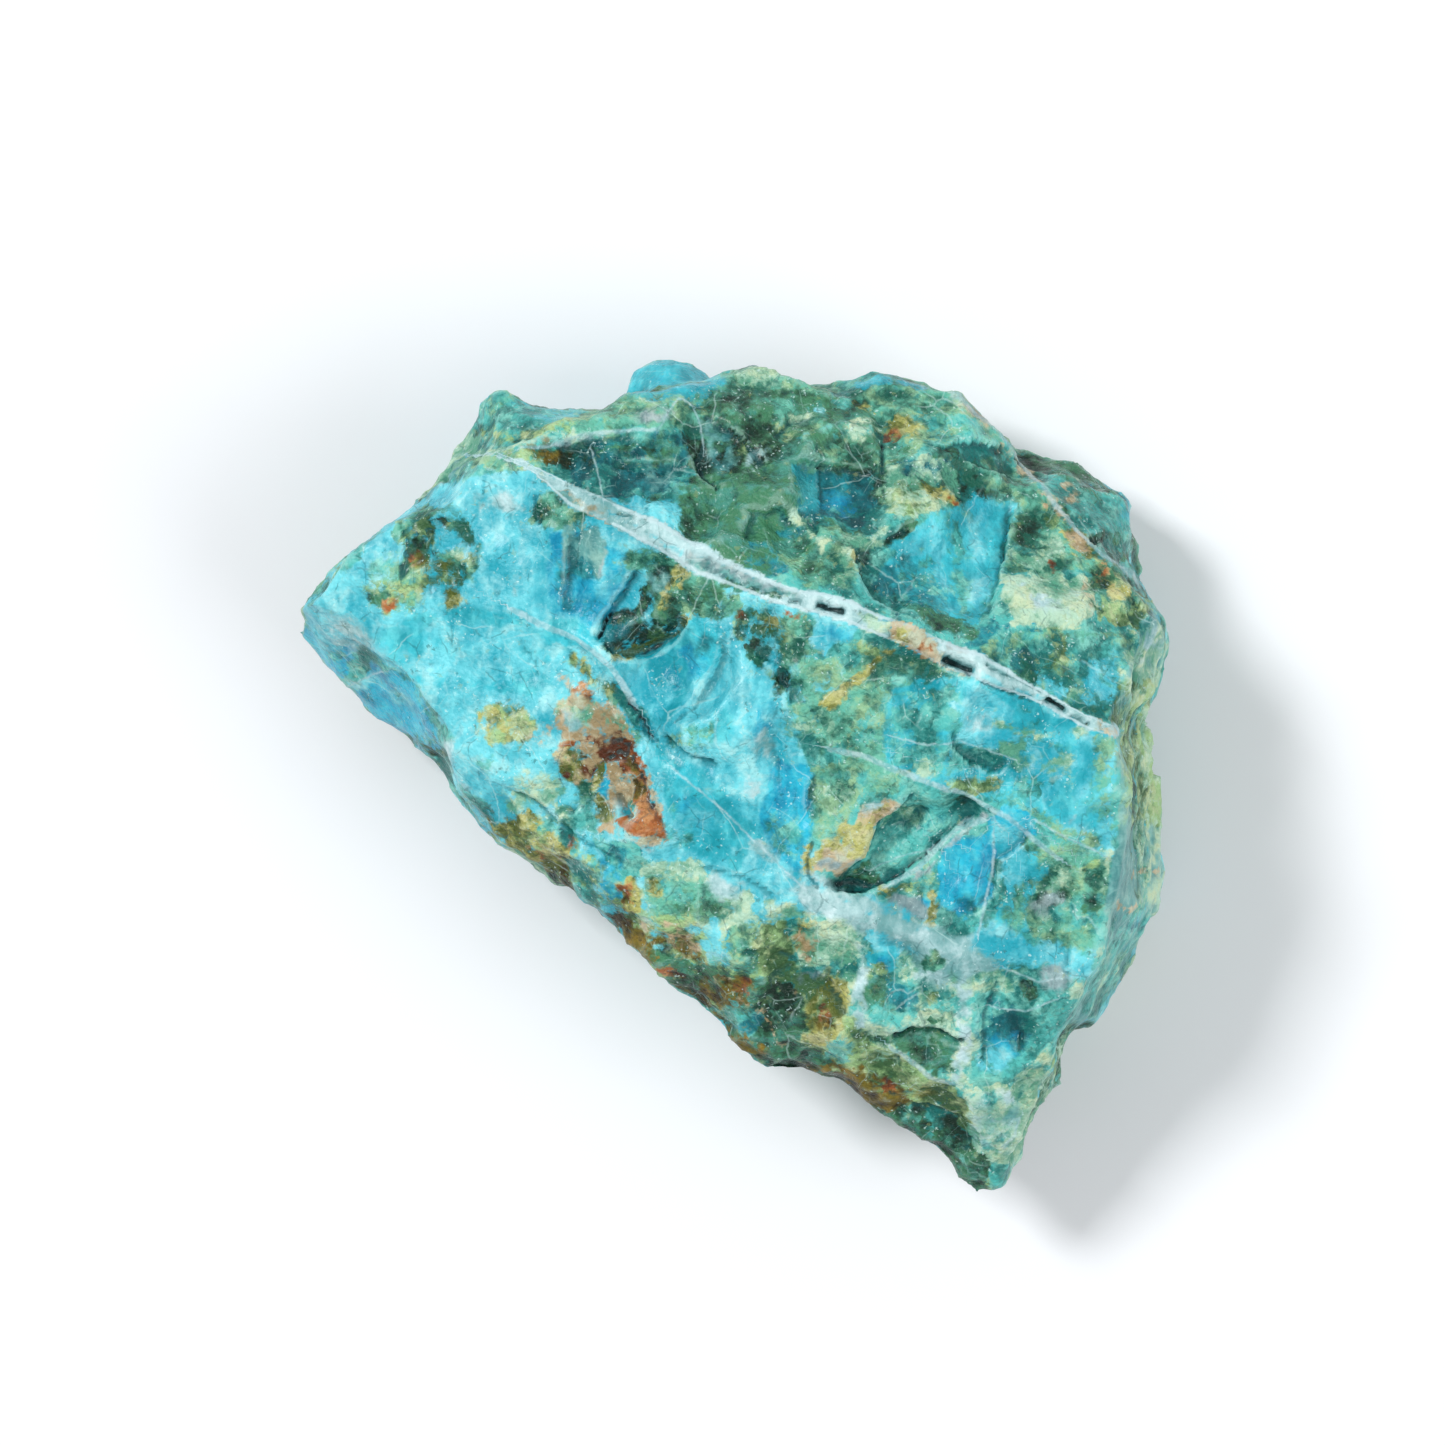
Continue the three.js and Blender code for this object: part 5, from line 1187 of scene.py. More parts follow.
@dataclass
class StoneSkin:
    """The dense skin laid over the stone's solid.

    Attributes:
        spacing: Distance between its vertices in millimetres.
        smoothing: Rounds of smoothing that melt the solid's flat triangles together.
        rest_band: Height in millimetres below which the skin is its flat rest face.
        smooth_from: Height in millimetres from which the smoothing is whole.
        weld: Distance in metres within which the solid's corners are joined.
    """

    spacing: float = 0.375
    smoothing: int = 4
    rest_band: float = 0.3
    smooth_from: float = 0.8
    weld: float = 1e-6

    def remeshed(self, solid: bpy.types.Object) -> bpy.types.Object:
        """Lays an even net of small faces over the solid.

        Args:
            solid: The stone's solid.

        Returns:
            The new object, linked to the scene.
        """
        mesh = bpy.data.meshes.new("opal_skin_draft")
        work = bmesh.new()
        work.from_mesh(solid.data)
        bmesh.ops.remove_doubles(work, verts=work.verts, dist=self.weld)
        work.to_mesh(mesh)
        work.free()
        draft = placed("opal_skin_draft", mesh)
        net = draft.modifiers.new("net", "REMESH")
        net.mode = "VOXEL"
        net.voxel_size = self.spacing * MM
        bpy.context.view_layer.update()
        made = bpy.data.meshes.new_from_object(draft.evaluated_get(bpy.context.evaluated_depsgraph_get()))
        bpy.data.objects.remove(draft)
        bpy.data.meshes.remove(mesh)
        return placed("opal_surface", made)

    def flatten_rest(self, mesh: bpy.types.Mesh) -> None:
        """Turns the skin's underside into one flat face.

        Args:
            mesh: The skin's mesh.
        """
        work = bmesh.new()
        work.from_mesh(mesh)
        band = self.rest_band * MM
        for vertex in work.verts:
            if vertex.co.z < band:
                vertex.co.z = 0.0
        under = [face for face in work.faces if all(vertex.co.z == 0.0 for vertex in face.verts)]
        bmesh.ops.dissolve_faces(work, faces=under, use_verts=False)
        work.to_mesh(mesh)
        work.free()
        mesh.update()

    def build(self, solid: bpy.types.Object) -> bpy.types.Object:
        """Builds the skin.

        Args:
            solid: The stone's solid.

        Returns:
            The skin's object.
        """
        skin = self.remeshed(solid)
        self.flatten_rest(skin.data)
        surface = Surface(skin.data)
        free = smooth_step(surface.points[:, 2], 0.0, self.smooth_from)[:, None]
        surface.points += (surface.averaged(surface.points, self.smoothing) - surface.points) * free
        surface.write()
        return skin


@dataclass
class MineralMap:
    """How much of each mineral lies at each vertex of the skin, with lengths in millimetres."""

    surface: Surface
    grain: Grain
    # Upward part of the normals where the drawn minerals begin, and where they lie alone.
    upper_lean: Span = (0.03, 0.26)
    # Noise that bends the borders, frays them and opens gaps in thin covers.
    bends: tuple[Swell, ...] = (Swell(0.38, 3.4, 1), Swell(0.26, 1.0, 8))
    frays: tuple[Swell, ...] = (Swell(0.30, 1.2, 3), Swell(0.15, 0.5, 4, 1))
    mottles: tuple[Swell, ...] = (Swell(1.0, 1.7, 20), Swell(1.0, 1.1, 21), Swell(1.0, 2.4, 22))
    # How far round a patch its rim is looked for, how much the smoothest rim frays, and how soft rims
    # are: a share of the patch's reach, which is a fixed one for a patch with corners, within limits.
    search: float = 1.0
    least_fray: float = 0.5
    rim_share: float = 0.5
    area_reach: float = 0.7
    rims: Span = (0.3, 1.1)
    # Strength from which a cover has no gaps, share of a thinner one that lies evenly, how far its
    # strength moves the gaps' threshold, and their softness.
    whole_cover: float = 0.95
    even_share: float = 0.4
    gap_shift: float = 0.6
    gap_soft: float = 0.5
    # How much the crest vein's rim frays, and where it begins and is whole.
    crest_fray: float = 0.6
    crest_rim: Span = (-0.10, 0.12)
    # The mosaic of the undercut sides: its bend, its cells' sizes and shares, and its salts.
    side_bend: Swell = Swell(1.4, 4.0, 61)
    side_cells: tuple[Span, ...] = ((7.0, 0.65), (2.6, 0.35))
    side_salts: tuple[int, int] = (70, 77)
    # Distance and half width kept where no thin vein is near.
    far_gap: float = 9.0
    far_half: float = 0.1

    def __post_init__(self) -> None:
        """Starts with bare ground."""
        points = self.surface.points
        self.facing_up = smooth_step(self.surface.broad_normals[:, 2], *self.upper_lean)
        bend = [sum(layer.over(points, self.grain, axis) for layer in self.bends) for axis in range(2)]
        nearness = PLAN_DISTANCE / (EYE[2] - points[:, 2])
        self.x = PLAN_EYE[0] + (points[:, 0] - EYE[0]) * nearness
        self.y = PLAN_EYE[1] + (points[:, 1] - EYE[1]) * nearness
        self.bent_x, self.bent_y = self.x + bend[0], self.y + bend[1]
        self.ragged = sum(layer.over(points, self.grain) for layer in self.frays)
        self.gaps = [layer.over(points, self.grain) for layer in self.mottles]
        self.order = {mineral: place for place, mineral in enumerate(Mineral)}
        self.weights = np.zeros((self.surface.count, len(Mineral)))
        self.weights[:, self.order[TEAL]] = 1.0
        self.crest_gap, self.crest_half = self.crest()
        self.thin_gap, self.thin_half = self.thin()

    def crest(self) -> tuple[np.ndarray, np.ndarray]:
        """Signed distance to the crest vein, and its half width there."""
        gap, along = signed_distance(self.x, self.y, CREST_LINE)
        steps = [math.dist(a, b) for a, b in zip(CREST_LINE[:-1], CREST_LINE[1:])]
        return gap, np.interp(along, np.concatenate([[0.0], np.cumsum(steps)]), CREST_HALF_WIDTH)

    def thin(self) -> tuple[np.ndarray, np.ndarray]:
        """Signed distance to the nearest thin vein, and its half width."""
        gap = np.full(self.surface.count, self.far_gap)
        half = np.full(self.surface.count, self.far_half)
        for width, line in THIN_VEINS:
            signed, _ = signed_distance(self.x, self.y, line)
            nearer = np.abs(signed) - width < np.abs(gap) - half
            gap, half = np.where(nearer, signed, gap), np.where(nearer, width, half)
        return gap, half

    def lay(self, patches: tuple[Patch, ...], within: np.ndarray | None = None) -> None:
        """Lays patches one over the other.

        Args:
            patches: The patches, lowest first.
            within: How far each vertex takes them, from 0 to 1.
        """
        for number, patch in enumerate(patches):
            spots, reach = reach_of(patch)
            low = spots.min(axis=0) - reach - self.search
            high = spots.max(axis=0) + reach + self.search
            across = (self.bent_x > low[0]) & (self.bent_x < high[0])
            near = np.flatnonzero(across & (self.bent_y > low[1]) & (self.bent_y < high[1]))
            fray = self.ragged[near] * (self.least_fray + FINISHES[patch.mineral].relief)
            depth = patch.depth_inside(self.bent_x[near], self.bent_y[near]) + fray
            rim = min(max(self.rim_share * (reach or self.area_reach), self.rims[0]), self.rims[1])
            cover = smooth_step(depth, -rim, rim)
            if patch.strength < self.whole_cover:
                threshold = (1 - 2 * patch.strength) * self.gap_shift
                mottle = self.gaps[number % len(self.gaps)][near]
                kept = smooth_step(mottle, threshold - self.gap_soft, threshold + self.gap_soft)
                cover *= self.even_share * patch.strength + (1 - self.even_share) * kept
            if within is not None:
                cover *= within[near]
            self.weights[near] *= 1 - cover[:, None]
            self.weights[near, self.order[patch.mineral]] += cover

    def lay_all(self) -> None:
        """Lays every patch, the crest vein and the minerals of the undercut sides."""
        for group in (GROUND, FAR_LEFT, CORNER, SCOOPS, RUSTY_HEART, LOW_EDGE, BLUE_HEART, MIDDLE_GREEN,
                      POCKETS, APRON, BACK_LEFT, BACK_RIGHT, RIGHT_SIDE):
            self.lay(group)
        inside = self.crest_half - np.abs(self.crest_gap) + self.ragged * self.crest_fray
        in_vein = smooth_step(inside, *self.crest_rim)
        self.weights *= 1 - in_vein[:, None]
        self.weights[:, self.order[WHITE]] += in_vein
        self.lay(CREST_STAINS_AND_SHADE, in_vein)
        self.lay_sides()

    def lay_sides(self) -> None:
        """Lays a mosaic of minerals on the undercut sides, where the drawn patches end."""
        bent = self.side_bend.bent(self.surface.points, self.grain)
        places = np.array([self.order[mineral] for mineral in SIDE_MINERALS])
        mosaic = np.zeros_like(self.weights)
        for size, share in self.side_cells:
            home = self.grain.nearest_cell(bent, size, self.side_salts[0])
            pick = (self.grain.chance(home, self.side_salts[1]) * len(places)).astype(int)
            mosaic[np.arange(len(bent)), places[pick]] += share
        up = self.facing_up[:, None]
        self.weights = self.weights * up + mosaic * (1 - up)

    def mean_of(self, trait: str) -> np.ndarray:
        """A trait of the finishes, weighed by the minerals at each vertex."""
        return self.weights @ np.array([getattr(FINISHES[mineral], trait) for mineral in Mineral])

    def store(self) -> None:
        """Stores what the material needs on the mesh."""
        below = np.cumsum(self.weights, axis=1)
        for mineral, place in self.order.items():
            share = self.weights[:, place] / np.maximum(below[:, place], LEAST_SHARE)
            self.surface.keep(f"lay_{mineral.value}", share)
        for trait in ("roughness", "specks", "relief"):
            self.surface.keep(trait, self.mean_of(trait))
        for name, gap in (("crest_gap", self.crest_gap), ("thin_gap", self.thin_gap)):
            away = np.where(gap < 0, -self.far_gap, self.far_gap) * (1 - self.facing_up)
            self.surface.keep(name, gap + away)
        self.surface.keep("crest_half", self.crest_half)
        self.surface.keep("thin_half", self.thin_half)


def reach_of(patch: Patch) -> tuple[np.ndarray, float]:
    """Where a patch lies.

    Args:
        patch: The patch.

    Returns:
        Its plan points, and how far it spreads round them.
    """
    if isinstance(patch, Blot):
        return np.array([[patch.x, patch.y]]), max(patch.half_length, patch.half_width)
    if isinstance(patch, Area):
        return np.array(patch.corners), 0.0
    return np.array(patch.line), patch.width


@dataclass
class BrokenGrain:
    """The broken, sugary relief of the stone, all of it cut into the skin, in millimetres."""

    # The layers of breaks, largest first, their salts' start and step, and what bends them.
    chips: tuple[Chips, ...] = (
        Chips(7.5, 0.15, 0.19, 0.05, 0.7),
        Chips(3.1, 0.26, 0.30, 0.08, 0.35),
        Chips(1.35, 0.22, 0.26, 0.10, 0.12),
    )
    chip_salt: tuple[int, int] = (100, 10)
    bend: Swell = Swell(0.45, 2.6, 31)
    # The soft lumps, and how far the whole relief sits below the solid.
    lumps: tuple[Swell, ...] = (Swell(0.10, 5.0, 45, 2), Swell(0.06, 0.7, 40, 2))
    inset: float = 0.10
    # Relief at which a mineral starts to break and breaks fully, evened out over some rounds.
    crumbly: Span = (0.30, 0.85)
    relief_rounds: int = 2
    # Share of the borders' bend in the drawn lines, how much deeper steps are cut than listed, the length
    # over which their ends fade, half the width of their brink, and the width of a hole's lip.
    line_bend: float = 0.4
    ledge_strength: float = 1.5
    ledge_end: float = 1.8
    ledge_brink: float = 0.15
    hole_lip: float = 0.2
    # The crest vein's rise, its shoulder in half widths, and the half width that stands proud.
    crest_rise: float = 0.14
    crest_shoulder: Span = (0.75, 1.15)
    crest_least: float = 0.4
    # The channel in the crest vein: its wall in half widths, and the plan X of its two ends.
    channel_depth: float = 0.42
    channel_wall: Span = (0.35, 0.75)
    channel_start: Span = (-4.6, -3.4)
    channel_end: Span = (5.8, 6.8)
    # The thin veins' rise, and their shoulder from the rim outward.
    thin_rise: float = 0.08
    thin_shoulder: Span = (-0.05, 0.2)
    # Height over which the relief fades in, and the rounds that find sharp edges and broad brows.
    rest_fade: float = 1.0
    edge_rounds: int = 5
    brow_rounds: int = 30

    def heights(self, surface: Surface, minerals: MineralMap) -> np.ndarray:
        """Height of the relief at each vertex; the tone of the breaks is kept for the material.

        Args:
            surface: The skin's vertices.
            minerals: What lies there.

        Returns:
            Millimetres above the smooth skin.
        """
        bent = self.bend.bent(surface.points, minerals.grain)
        relief = surface.averaged(minerals.mean_of("relief")[:, None], self.relief_rounds)[:, 0]
        crumbly = smooth_step(relief, *self.crumbly)
        height = np.zeros(surface.count)
        facet_tone = np.zeros(surface.count)
        first_salt, salt_step = self.chip_salt
        for number, layer in enumerate(self.chips):
            rise, tone = layer.heights(bent, minerals.grain, first_salt + salt_step * number)
            share = layer.even + (1 - layer.even) * crumbly
            height += (rise - rise.mean()) * share
            facet_tone += (tone - 0.5) / (number + 1)
        for lump in self.lumps:
            height += lump.over(surface.points, minerals.grain) * relief
        surface.keep("facet", facet_tone)
        return height

    def cut_ledges(self, height: np.ndarray, x: np.ndarray, y: np.ndarray) -> None:
        """Takes the drawn steps off a height.

        Args:
            height: Height at each vertex, changed in place.
            x: Plan X of each vertex.
            y: Plan Y of each vertex.
        """
        for ledge in LEDGES:
            gap, along = signed_distance(x, y, ledge.line)
            length = sum(math.dist(a, b) for a, b in zip(ledge.line[:-1], ledge.line[1:]))
            from_end = np.stack([along, length - along])
            ends = smooth_step(from_end, 0.0, self.ledge_end).prod(axis=0)
            inward = -gap * math.copysign(1, ledge.drop)
            brink = smooth_step(inward, -self.ledge_brink, self.ledge_brink)
            fall = brink * (1 - smooth_step(inward, 0.0, ledge.reach))
            height -= self.ledge_strength * abs(ledge.drop) * fall * ends

    def plan_features(self, minerals: MineralMap) -> np.ndarray:
        """Height of the steps, holes and veins, which are placed in plan.

        Args:
            minerals: The mineral map, with its plan places.

        Returns:
            Millimetres above the smooth skin.
        """
        height = np.zeros(len(minerals.x))
        x = minerals.x + self.line_bend * (minerals.bent_x - minerals.x)
        y = minerals.y + self.line_bend * (minerals.bent_y - minerals.y)
        self.cut_ledges(height, x, y)
        for cavity in CAVITIES:
            gap, _ = signed_distance(x, y, cavity.line)
            inside = smooth_step(cavity.half_width - np.abs(gap), -self.hole_lip, cavity.half_width)
            height -= cavity.depth * inside
        share = np.abs(minerals.crest_gap) / minerals.crest_half
        proud = 1 - smooth_step(share, *self.crest_shoulder)
        height += self.crest_rise * proud * (minerals.crest_half > self.crest_least)
        channel = smooth_step(x, *self.channel_start) * (1 - smooth_step(x, *self.channel_end))
        height -= self.channel_depth * (1 - smooth_step(share, *self.channel_wall)) * channel
        beside = np.abs(minerals.thin_gap) - minerals.thin_half
        height += self.thin_rise * (1 - smooth_step(beside, *self.thin_shoulder))
        return height * minerals.facing_up

    def cut(self, surface: Surface, minerals: MineralMap) -> None:
        """Cuts the relief into the skin.

        Args:
            surface: The skin's vertices.
            minerals: What lies there.
        """
        grained = self.heights(surface, minerals)
        height = grained + self.plan_features(minerals) - self.inset
        low, high = (np.array(corner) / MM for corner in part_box(NODE))
        free = smooth_step(surface.points[:, 2], 0.0, self.rest_fade)
        surface.points += surface.normals * (height * free)[:, None]
        surface.points = np.clip(surface.points, low, high)
        # The relief's height, and how far each vertex stands proud of its neighbours, near and broad; the
        # material paints light and shade from these.
        surface.keep("ridge", grained)
        for name, rounds in (("edge", self.edge_rounds), ("brow", self.brow_rounds)):
            proud = surface.points - surface.averaged(surface.points, rounds)
            surface.keep(name, (proud * surface.normals).sum(axis=1) * free)
        surface.write()


@dataclass(frozen=True)
class Haze:
    """One layer of soft noise in a material: lumps in millimetres, finer layers, twist and reach."""

    size: float
    detail: float = 3.0
    twist: float = 0.0
    reach: float = 0.0


@dataclass(frozen=True)
class Recipe:
    """Strengths of several measures in one tone, and the middle that is taken off their total."""

    strengths: tuple[float, ...]
    middle: float = 0.0


@dataclass(frozen=True)
class Tint:
    """A linear colour that sets in at one value of a measure, and is whole at another."""

    start: float
    full: float
    strength: float
    colour: Colour


@dataclass
class Bench:
    """Adds and wires the nodes of one material."""

    material: bpy.types.Material
    # Places of the two colours among a mixing node's inputs, and of their mix among its outputs.
    under_place: int = 6
    over_place: int = 7
    mixed_place: int = 2

    def __post_init__(self) -> None:
        """Starts an empty node tree."""
        self.material.use_nodes = True
        self.tree = self.material.node_tree
        self.tree.nodes.clear()

    def add(self, kind: str, **settings: object) -> bpy.types.ShaderNode:
        """Adds a node.

        Args:
            kind: The node's type.
            settings: Its properties.

        Returns:
            The node.
        """
        made = self.tree.nodes.new(kind)
        for name, value in settings.items():
            setattr(made, name, value)
        return made

    def feed(self, socket: Socket, value: object) -> None:
        """Links a socket, or sets its plain value."""
        if isinstance(value, Socket):
            self.tree.links.new(value, socket)
        else:
            socket.default_value = value

    def reckon(self, operation: str, *values: object) -> Socket:
        """Works out a number from others.

        Args:
            operation: What it does.
            values: Its inputs.

        Returns:
            Its result.
        """
        made = self.add("ShaderNodeMath", operation=operation)
        for socket, value in zip(made.inputs, values):
            self.feed(socket, value)
        return made.outputs[0]

    def ramp(self, value: object, low: float, high: float) -> Socket:
        """An eased ramp from 0 to 1.

        Args:
            value: What is ramped.
            low: Where the ramp is 0.
            high: Where the ramp is 1.

        Returns:
            The ramped value.
        """
        made = self.add("ShaderNodeMapRange", interpolation_type="SMOOTHSTEP")
        for name, given in (("Value", value), ("From Min", low), ("From Max", high)):
            self.feed(made.inputs[name], given)
        return made.outputs[0]

    def mix(self, share: object, under: object, over: object) -> Socket:
        """Mixes two colours.

        Args:
            share: How much of the upper one.
            under: Lower colour.
            over: Upper colour.

        Returns:
            The mixed colour.
        """
        made = self.add("ShaderNodeMix", data_type="RGBA")
        self.feed(made.inputs[0], share)
        for place, value in ((self.under_place, under), (self.over_place, over)):
            self.feed(made.inputs[place], (*value, 1.0) if isinstance(value, tuple) else value)
        return made.outputs[self.mixed_place]

    def tinted(self, under: object, measure: object, tint: Tint, within: Socket | None = None) -> Socket:
        """Lays a tint over a colour.

        Args:
            under: The colour.
            measure: What the tint follows.
            tint: The tint.
            within: How far each place takes it, from 0 to 1.

        Returns:
            The tinted colour.
        """
        strength = tint.strength if within is None else self.reckon("MULTIPLY", within, tint.strength)
        share = self.reckon("MULTIPLY", self.ramp(measure, tint.start, tint.full), strength)
        return self.mix(share, under, tint.colour)

    def blend(self, recipe: Recipe, *measures: Socket) -> Socket:
        """Adds up measures, each with its strength.

        Args:
            recipe: The strengths.
            measures: The measures, in the recipe's order.

        Returns:
            The total.
        """
        total: object = -recipe.middle
        for measure, strength in zip(measures, recipe.strengths, strict=True):
            total = self.reckon("MULTIPLY_ADD", measure, strength, total)
        return total

    def split(self, colour: Socket) -> list[Socket]:
        """The three numbers of a colour."""
        parts = self.add("ShaderNodeSeparateColor")
        self.feed(parts.inputs[0], colour)
        return list(parts.outputs)

    def stored(self, name: str) -> Socket:
        """A number stored on the mesh."""
        return self.add("ShaderNodeAttribute", attribute_name=name).outputs["Fac"]

    def noise(self, place: Socket, haze: Haze, result: str = "Fac") -> Socket:
        """Soft noise.

        Args:
            place: Where it is read, in millimetres.
            haze: Its size, detail and twist.
            result: Which of the node's results is wanted.

        Returns:
            Noise from 0 to 1.
        """
        made = self.add("ShaderNodeTexNoise")
        settings = {"Scale": 1 / haze.size, "Detail": haze.detail, "Distortion": haze.twist}
        for name, given in {"Vector": place, **settings}.items():
            self.feed(made.inputs[name], given)
        return made.outputs[result]

    def sway(self, place: Socket, haze: Haze) -> Socket:
        """Soft noise that goes as far to each side as the haze reaches."""
        return self.reckon("MULTIPLY_ADD", self.noise(place, haze), 2 * haze.reach, -haze.reach)

    def grains(self, place: Socket, size: float, feature: str = "F1") -> bpy.types.ShaderNode:
        """Cells of grain.

        Args:
            place: Where they are read, in millimetres.
            size: Size of a grain in millimetres.
            feature: What is measured.

        Returns:
            The node, with its distance and colour.
        """
        made = self.add("ShaderNodeTexVoronoi", feature=feature)
        self.feed(made.inputs["Vector"], place)
        self.feed(made.inputs["Scale"], 1 / size)
        return made

    def shade(self, settings: dict[str, object]) -> None:
        """Ends the material in its shader.

        Args:
            settings: The shader's inputs, by name.
        """
        shader = self.add("ShaderNodeBsdfPrincipled")
        for name, value in settings.items():
            self.feed(shader.inputs[name], value)
        out = self.add("ShaderNodeOutputMaterial")
        self.feed(out.inputs["Surface"], shader.outputs[0])


# Pale colour of the wisps, of the pale specks, which are painted glints, and of the pale tint on proud
# edges, which is part wear and part painted highlight.
SPECK_COLOUR: Colour = (0.60, 0.84, 0.80)
RIM_COLOUR: Colour = (0.52, 0.70, 0.73)


@dataclass
class OpalFinish:
    """The opal's material, laid mineral by mineral.

    Sizes are in millimetres. A recipe's strengths stand in the order in which its tone's measures are
    named, and a span says where something sets in and where it is whole.
    """

    # Bends that keep grains and wisps from having round outlines.
    grain_bend: Haze = Haze(0.625, reach=0.7)
    wisp_bend: Haze = Haze(2.5, reach=1.2)
    # The minerals' grain; the brush narrows the places of the streaks.
    coarse: Haze = Haze(3.2, 7.0, 0.4)
    medium: Haze = Haze(1.1, 6.0, 0.5)
    fine: Haze = Haze(0.38)
    brushed: Haze = Haze(0.7, 5.0, 0.3)
    brush: Place = (1.0, 0.3, 0.6)
    grain_size: float = 0.8
    # Light and dark of crumbly minerals, which have more relief than this, and of waxy ones; both take in
    # painted light and shade from the relief, paler on high places and darker in low ones.
    relief_shading: Recipe = Recipe((0.7, 1.6, 0.25))
    rough_tone: Recipe = Recipe((1.3, 1.2, 0.5, 0.5, 0.34, 0.20, 0.30, 1.0), 2.02)
    waxy_tone: Recipe = Recipe((1.5, 0.5, 0.25, 1.2, 0.36, 0.5), 1.725)
    tone_span: Span = (-0.55, 0.62)
    crumbly: float = 0.55
    # Borders between minerals: what frays them, how much of it waxy ones have, and their span.
    jitter: Recipe = Recipe((1.1, 0.5, 0.45, 0.3), 1.175)
    calm: float = 0.5
    border: Span = (0.16, 0.84)
    # Clouds of accent colour.
    accents: tuple[Haze, ...] = (Haze(1.9, 4.0, 0.6), Haze(2.7, 4.0, 0.6))
    accent_tone: Recipe = Recipe((1.0, 0.12, 0.10))
    accent_span: Span = (0.54, 0.78)
    accent_strength: float = 0.75
    # Sizes and tints of the pale wisps and the dark seam, their gaps, and the painted light and shade by
    # how proud edges are.
    wisps: tuple[tuple[float, Tint], ...] = (
        (6.5, Tint(0.018, 0.0, 0.30, SPECK_COLOUR)),
        (3.6, Tint(0.024, 0.0, 0.22, (0.42, 0.72, 0.68))),
        (2.5, Tint(0.040, 0.0, 0.45, (0.010, 0.085, 0.095))),
    )
    wisp_gaps: Span = (0.50, 0.64)
    gap_size: float = 0.8
    # Painted light and shade by how proud each place stands: a pale tint on proud edges, part wear and part
    # painted highlight; painted shade in shallow hollows; near-black painted shade in deep pits.
    edges: tuple[Tint, ...] = (
        Tint(0.05, 0.18, 0.16, SPECK_COLOUR),
        Tint(-0.03, -0.14, 0.42, (0.010, 0.10, 0.11)),
        Tint(-0.25, -0.42, 0.85, (0.004, 0.018, 0.020)),
    )
    # Sizes and tints of the specks, what gathers and frays them, and how they are picked. The pale specks
    # are painted glints; the ochre and dark ones are grains.
    specks: tuple[tuple[float, Tint], ...] = (
        # Painted glints.
        (0.26, Tint(0.50, 0.20, 0.52, SPECK_COLOUR)),
        (0.62, Tint(0.50, 0.20, 0.30, (0.34, 0.40, 0.17))),
        (0.5, Tint(0.50, 0.20, 0.5, (0.012, 0.07, 0.06))),
    )
    crowd: Haze = Haze(1.8, 4.0)
    speck_fray: Haze = Haze(0.16, 1.0, reach=0.6)
    speck_tone: Recipe = Recipe((0.24, 1.0, 1.0), 0.5)
    speck_pick: Span = (0.98, 1.10)
    # Thin veins: clouds, wander, rim and strength. The crest vein's pale rim lies at a share of its half
    # width.
    vein_cloud: Haze = Haze(0.9, 4.0, 0.8)
    vein_span: Span = (0.35, 0.65)
    vein_dark: Colour = (0.20, 0.42, 0.46)
    wander: Haze = Haze(0.7, reach=0.18)
    thin_rim: Span = (0.10, -0.12)
    thin_strength: float = 0.60
    crest_share: float = 0.78
    crest_rim: Tint = Tint(0.24, 0.05, 0.7, RIM_COLOUR)
    # Surface: unevenness of its roughness, reflection, glassy sheen and finest relief.
    dullness: Haze = Haze(0.6, 2.0, reach=0.12)
    specular: float = 0.24
    refraction: float = 1.45
    sheen: float = 0.10
    sheen_roughness: float = 0.16
    bump_metres: float = 0.00018
    bump_grain: float = 0.42
    bump_grain_depth: float = 0.9
    bump_haze: Haze = Haze(0.25)

    def minerals(self, bench: Bench, place: Socket) -> Socket:
        """Colours of the minerals, each with its own grain.

        Args:
            bench: The material's nodes.
            place: Where the noise is read.

        Returns:
            The colour.
        """
        coarse, medium, fine = (bench.noise(place, haze) for haze in (self.coarse, self.medium, self.fine))
        big = bench.split(bench.grains(place, self.grain_size).outputs["Color"])
        small = bench.split(bench.grains(place, self.grain_size / 2).outputs["Color"])
        facet = bench.stored("facet")
        # Painted light and shade: the relief's height, proud edges and broad brows, made into a tone that
        # is paler high up and darker low down.
        relief = bench.blend(self.relief_shading, *(bench.stored(name) for name in ("ridge", "edge", "brow")))
        narrow = bench.add("ShaderNodeVectorMath", operation="MULTIPLY")
        bench.feed(narrow.inputs[0], place)
        narrow.inputs[1].default_value = self.brush
        brushed = bench.noise(narrow.outputs[0], self.brushed)
        rough_tone = bench.blend(
            self.rough_tone, coarse, medium, fine, brushed, big[0], small[0], facet, relief)
        waxy_tone = bench.blend(self.waxy_tone, coarse, medium, fine, brushed, facet, relief)
        rough_grain, waxy_grain = (bench.ramp(tone, *self.tone_span) for tone in (rough_tone, waxy_tone))
        jitters = [bench.blend(self.jitter, medium, fine, big[side], small[side]) for side in (1, 2)]
        calm_jitters = [bench.reckon("MULTIPLY", jitter, self.calm) for jitter in jitters]
        clouds = []
        for haze in self.accents:
            cloud = bench.blend(self.accent_tone, bench.noise(place, haze), fine, small[2])
            clouds.append(bench.ramp(cloud, *self.accent_span))
        colour: object = FINISHES[SKY].dark
        for number, (mineral, finish) in enumerate(FINISHES.items()):
            rough = finish.relief > self.crumbly
            cloudy = bench.reckon("MULTIPLY", clouds[number % 2], self.accent_strength)
            light = bench.mix(cloudy, finish.light, finish.accent)
            own = bench.mix(rough_grain if rough else waxy_grain, finish.dark, light)
            lay = bench.stored(f"lay_{mineral.value}")
